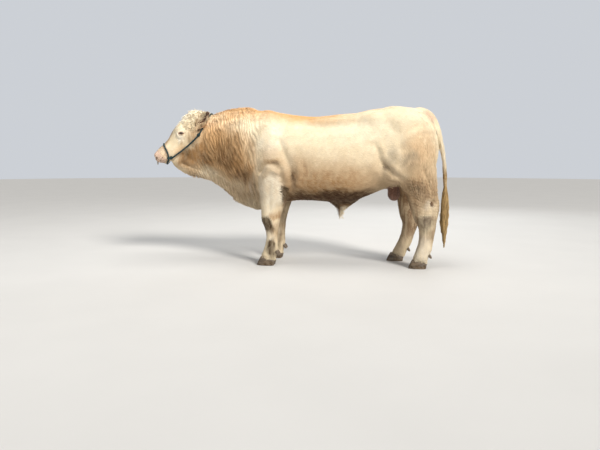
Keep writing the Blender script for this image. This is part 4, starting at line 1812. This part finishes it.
def coat_pieces(points):
    """Name, faces of the hide, closeness of the tufts and axis of the map, for each piece of the coat."""
    coat = bpy.context.scene.bull_coat
    x, y, z = points.T
    on = on_head(points)
    tail = (on_tail(points) > 0.5) & (on < 0.5)
    leg = (z < 0.62) & (np.abs(y) > LEG_OUT) & (on < 0.5) & ~tail
    trunk = (on <= 0.5) & ~tail & ~leg
    pieces = [("coat_face", on > 0.5, coat.face_cover, HEAD_AXIS)]
    pieces.append(("coat_tail", tail, coat.tail_cover, TAIL_AXIS))
    for side, sign in HEAD_SIDES.items():
        here = y * sign < 0
        neck = trunk & here & (x < TRUNK_SPANS[0][1])
        pieces.append((f"coat_neck_{side}", neck, coat.neck_cover, NECK_AXIS))
        for name, low, high in TRUNK_SPANS:
            span = trunk & here & (x >= low) & (x < high)
            pieces.append((f"coat_{name}_{side}", span, coat.body_cover, TRUNK_AXIS))
        for end, (along, out) in LEG_AXES.items():
            limb = leg & here & ((x > 0.4) == (end == "hind"))
            axis = [(along, -sign * out, height) for height in LEG_ENDS]
            pieces.append((f"coat_leg_{end}_{side}", limb, coat.leg_cover, axis))
    return pieces


# What the user starts, one piece or group of like pieces at a time

class BullOperator:
    bl_options = {"REGISTER", "UNDO"}


class BULL_OT_hide(BullOperator, bpy.types.Operator):
    """Makes the one hide that covers head, neck, trunk and legs"""

    bl_idname = "bull.hide"
    bl_label = "Hide"

    def execute(self, context):
        hide = make_hide(head_tree())
        finish(hide, "hide", FLESH)
        return {"FINISHED"}


class BULL_OT_coat(BullOperator, bpy.types.Operator):
    """Grows the tufts of the coat over the whole hide"""

    bl_idname = "bull.coat"
    bl_label = "Coat"

    def execute(self, context):
        faces = surface_faces(bpy.data.objects["hide"])
        for seed, (name, chosen, cover, axis) in enumerate(coat_pieces(faces["middle"])):
            grow_coat(name, faces, chosen, cover, axis, 100 + seed)
        return {"FINISHED"}


class BULL_OT_curls(BullOperator, bpy.types.Operator):
    """Grows the woolly curls of poll and forehead"""

    bl_idname = "bull.curls"
    bl_label = "Curls"

    def execute(self, context):
        grow_curls(surface_faces(bpy.data.objects["hide"]))
        return {"FINISHED"}


class BULL_OT_long_hair(BullOperator, bpy.types.Operator):
    """Grows the tail's switch and the sheath's tuft"""

    bl_idname = "bull.long_hair"
    bl_label = "Long Hair"

    def execute(self, context):
        grow_switch()
        grow_sheath_hair(surface_faces(bpy.data.objects["hide"]))
        return {"FINISHED"}


class BULL_OT_ears(BullOperator, bpy.types.Operator):
    """Makes both ears with their fringe"""

    bl_idname = "bull.ears"
    bl_label = "Ears"

    def execute(self, context):
        for seed, (side, sign) in enumerate(HEAD_SIDES.items()):
            grow_ear_hair(make_ear(f"ear_shell_{side}", sign), sign, 200 + seed)
            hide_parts(f"ear_{side}")
        return {"FINISHED"}


class BULL_OT_eyes(BullOperator, bpy.types.Operator):
    """Makes both eyes and their lashes"""

    bl_idname = "bull.eyes"
    bl_label = "Eyes"

    def execute(self, context):
        for side, sign in HEAD_SIDES.items():
            make_eye(side, sign)
        grow_lashes()
        return {"FINISHED"}


class BULL_OT_hooves(BullOperator, bpy.types.Operator):
    """Makes the eight claws and the eight dewclaws"""

    bl_idname = "bull.hooves"
    bl_label = "Hooves"

    def execute(self, context):
        for name in [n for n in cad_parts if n.startswith(("claw", "dewclaw"))]:
            make_hoof(name)
        return {"FINISHED"}


class BULL_OT_halter(BullOperator, bpy.types.Operator):
    """Lays the rope halter, with its knots at the noseband and below the ear"""

    bl_idname = "bull.halter"
    bl_label = "Halter"

    def execute(self, context):
        nose = rope_line("halter_noseband", True)
        cheek = rope_line("halter_headstall", False)
        band = twisted_rope("noseband_rope", nose, True)
        finish(band, "rope", ["halter_noseband"])
        finish(twisted_rope("headstall_rope", cheek, False), "rope", ["halter_headstall"])
        halter = context.scene.bull_halter
        wraps = []
        radius = halter.strand + halter.spread + KNOT_ROOM
        for end, following in ((cheek[0], cheek[12]), (cheek[-1], cheek[-13])):
            nearest = np.argmin(np.linalg.norm(nose - end, axis=1))
            middle = end + (nose[nearest] - end) * 0.35
            wraps += rope_wrap(middle, following - end, radius, 3, halter.strand, 5)
            across = np.gradient(nose, axis=0)[nearest]
            wraps += rope_wrap(nose[nearest], across, radius, 2, halter.strand, 6)
        run = run_along(cheek)
        knot = int(np.argmin(np.abs(run / run[-1] - KNOT_SHARE)))
        way = cheek[knot + 2] - cheek[knot - 2]
        outward = HEAD_AXES @ np.array([0.0, 1.0, 0.0])
        wraps += rope_wrap(cheek[knot], way, radius, 3, halter.strand, 7)
        top = cheek[knot] + outward * 0.004
        wraps += rope_wrap(top, np.cross(way, outward), radius * 0.9, 2, halter.strand, 8)
        finish(join("halter_knots", wraps), "rope")
        return {"FINISHED"}


class BULL_OT_nose_ring(BullOperator, bpy.types.Operator):
    """Makes the ring through the gristle of the nose"""

    bl_idname = "bull.nose_ring"
    bl_label = "Nose Ring"

    def execute(self, context):
        low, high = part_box("nose_ring")
        ring = add_ring("ring", (high.z - low.z) / 2 - RING_WIRE, RING_WIRE, 80, 18)
        across = (HEAD.to_3x3() @ Vector((0, 1, 0))).normalized()
        axis = across.cross(Vector((0, 0, 1))).normalized()
        ring.data.transform(Matrix.Translation((low + high) / 2) @ turned_to(axis))
        finish(ring, "steel", ["nose_ring"])
        return {"FINISHED"}


# Broad lights: name, place, size across, power and colour
LIGHTS = (
    ("fill", (-5.0, -4.2, 3.0), 4.5, 50.0, (0.92, 0.96, 1.0)),
    ("top", (0.2, -0.3, 6.0), 4.0, 170.0, (1.0, 0.985, 0.96)),
    ("back", (1.5, 5.5, 4.0), 4.0, 90.0, (0.92, 0.96, 1.0)),
)
# The light that casts the shadows: place, strength, breadth in degrees and colour
KEY_LIGHT = ((4.6, -4.8, 5.0), 3.4, 16.0, (1.0, 0.97, 0.925))
LIT_POINT = (0.1, 0, 0.8)  # what the lights are turned to
FLOOR_RADIUS = 30.0
SENSOR = 36.0  # millimetres
CAMERA_ASIDE = 0.009  # how far behind the bull's middle the camera looks
BACKDROP_LIGHT = (0.42, 0.90)  # its strength as light, and as the camera sees it


def aim_light(context, name, light, place):
    """Puts a light at a place, turned to the bull's middle."""
    lamp = bpy.data.objects.new(name, light)
    lamp.location = place
    lamp.rotation_euler = (Vector(LIT_POINT) - Vector(place)).to_track_quat("-Z", "Y").to_euler()
    context.scene.collection.objects.link(lamp)


class BULL_OT_stage(BullOperator, bpy.types.Operator):
    """Lays the floor and sets the lights and the camera"""

    bl_idname = "bull.stage"
    bl_label = "Stage"

    def execute(self, context):
        stage = context.scene.bull_stage
        only_nothing()
        bpy.ops.mesh.primitive_circle_add(vertices=96, radius=FLOOR_RADIUS, fill_type="NGON")
        floor = context.object
        floor.name = "floor"
        floor.data.materials.append(floor_finish("studio floor"))
        for name, place, size, energy, colour in LIGHTS:
            light = bpy.data.lights.new(name, "AREA")
            light.shape = "DISK"
            light.size = size
            light.energy = energy
            light.color = colour
            aim_light(context, name, light, place)
        place, strength, breadth, colour = KEY_LIGHT
        key = bpy.data.lights.new("key", "SUN")
        key.energy = strength
        key.angle = math.radians(breadth)
        key.color = colour
        aim_light(context, "key", key, place)
        world = bpy.data.worlds.new("studio")
        world.use_nodes = True
        tree = Tree(world.node_tree)
        seen = tree.put("ShaderNodeLightPath").outputs["Is Camera Ray"]
        inputs = {"Value": seen, "To Min": BACKDROP_LIGHT[0], "To Max": BACKDROP_LIGHT[1]}
        shown = tree.put("ShaderNodeMapRange", inputs).outputs["Result"]
        tree.join(world.node_tree.nodes["Background"], color=(*stage.backdrop, 1.0), strength=shown)
        context.scene.world = world
        camera = bpy.data.cameras.new("camera")
        camera.lens = stage.lens
        camera.sensor_width = SENSOR
        view = bpy.data.objects.new("camera", camera)
        turn, away = stage.azimuth, stage.distance
        view.location = (away * math.sin(turn) + CAMERA_ASIDE, -away * math.cos(turn), stage.height)
        view.rotation_euler = (math.pi / 2 - stage.pitch, 0.0, turn)
        context.scene.collection.objects.link(view)
        context.scene.camera = view
        context.scene.view_settings.view_transform = "Standard"
        return {"FINISHED"}


class BULL_PT_panel(bpy.types.Panel):
    """Lists the bull's sizes, colours and pieces"""

    bl_label = "Charolais Bull"
    bl_idname = "BULL_PT_panel"
    bl_space_type = "VIEW_3D"
    bl_region_type = "UI"
    bl_category = "Bull"

    def draw(self, context):
        for group in GROUPS:
            box = self.layout.box()
            owner = getattr(context.scene, GROUPS[group])
            for name in group.__annotations__:
                box.prop(owner, name)
        for operator in OPERATORS:
            self.layout.operator(operator.bl_idname)


GROUPS = {
    BullCoat: "bull_coat", BullColours: "bull_colours", BullHalter: "bull_halter", BullStage: "bull_stage",
}
OPERATORS = [
    BULL_OT_hide, BULL_OT_coat, BULL_OT_curls, BULL_OT_long_hair, BULL_OT_ears, BULL_OT_eyes, BULL_OT_hooves,
    BULL_OT_halter, BULL_OT_nose_ring, BULL_OT_stage,
]


def register():
    for group, name in GROUPS.items():
        bpy.utils.register_class(group)
        setattr(bpy.types.Scene, name, PointerProperty(type=group))
    for operator in OPERATORS:
        bpy.utils.register_class(operator)
    bpy.utils.register_class(BULL_PT_panel)


def unregister():
    bpy.utils.unregister_class(BULL_PT_panel)
    for operator in reversed(OPERATORS):
        bpy.utils.unregister_class(operator)
    for group, name in reversed(list(GROUPS.items())):
        delattr(bpy.types.Scene, name)
        bpy.utils.unregister_class(group)


def main():
    register()
    bpy.ops.bull.hide()
    bpy.ops.bull.coat()
    bpy.ops.bull.curls()
    bpy.ops.bull.long_hair()
    bpy.ops.bull.ears()
    bpy.ops.bull.eyes()
    bpy.ops.bull.hooves()
    bpy.ops.bull.halter()
    bpy.ops.bull.nose_ring()
    bpy.ops.bull.stage()


if __name__ == "__main__":
    main()
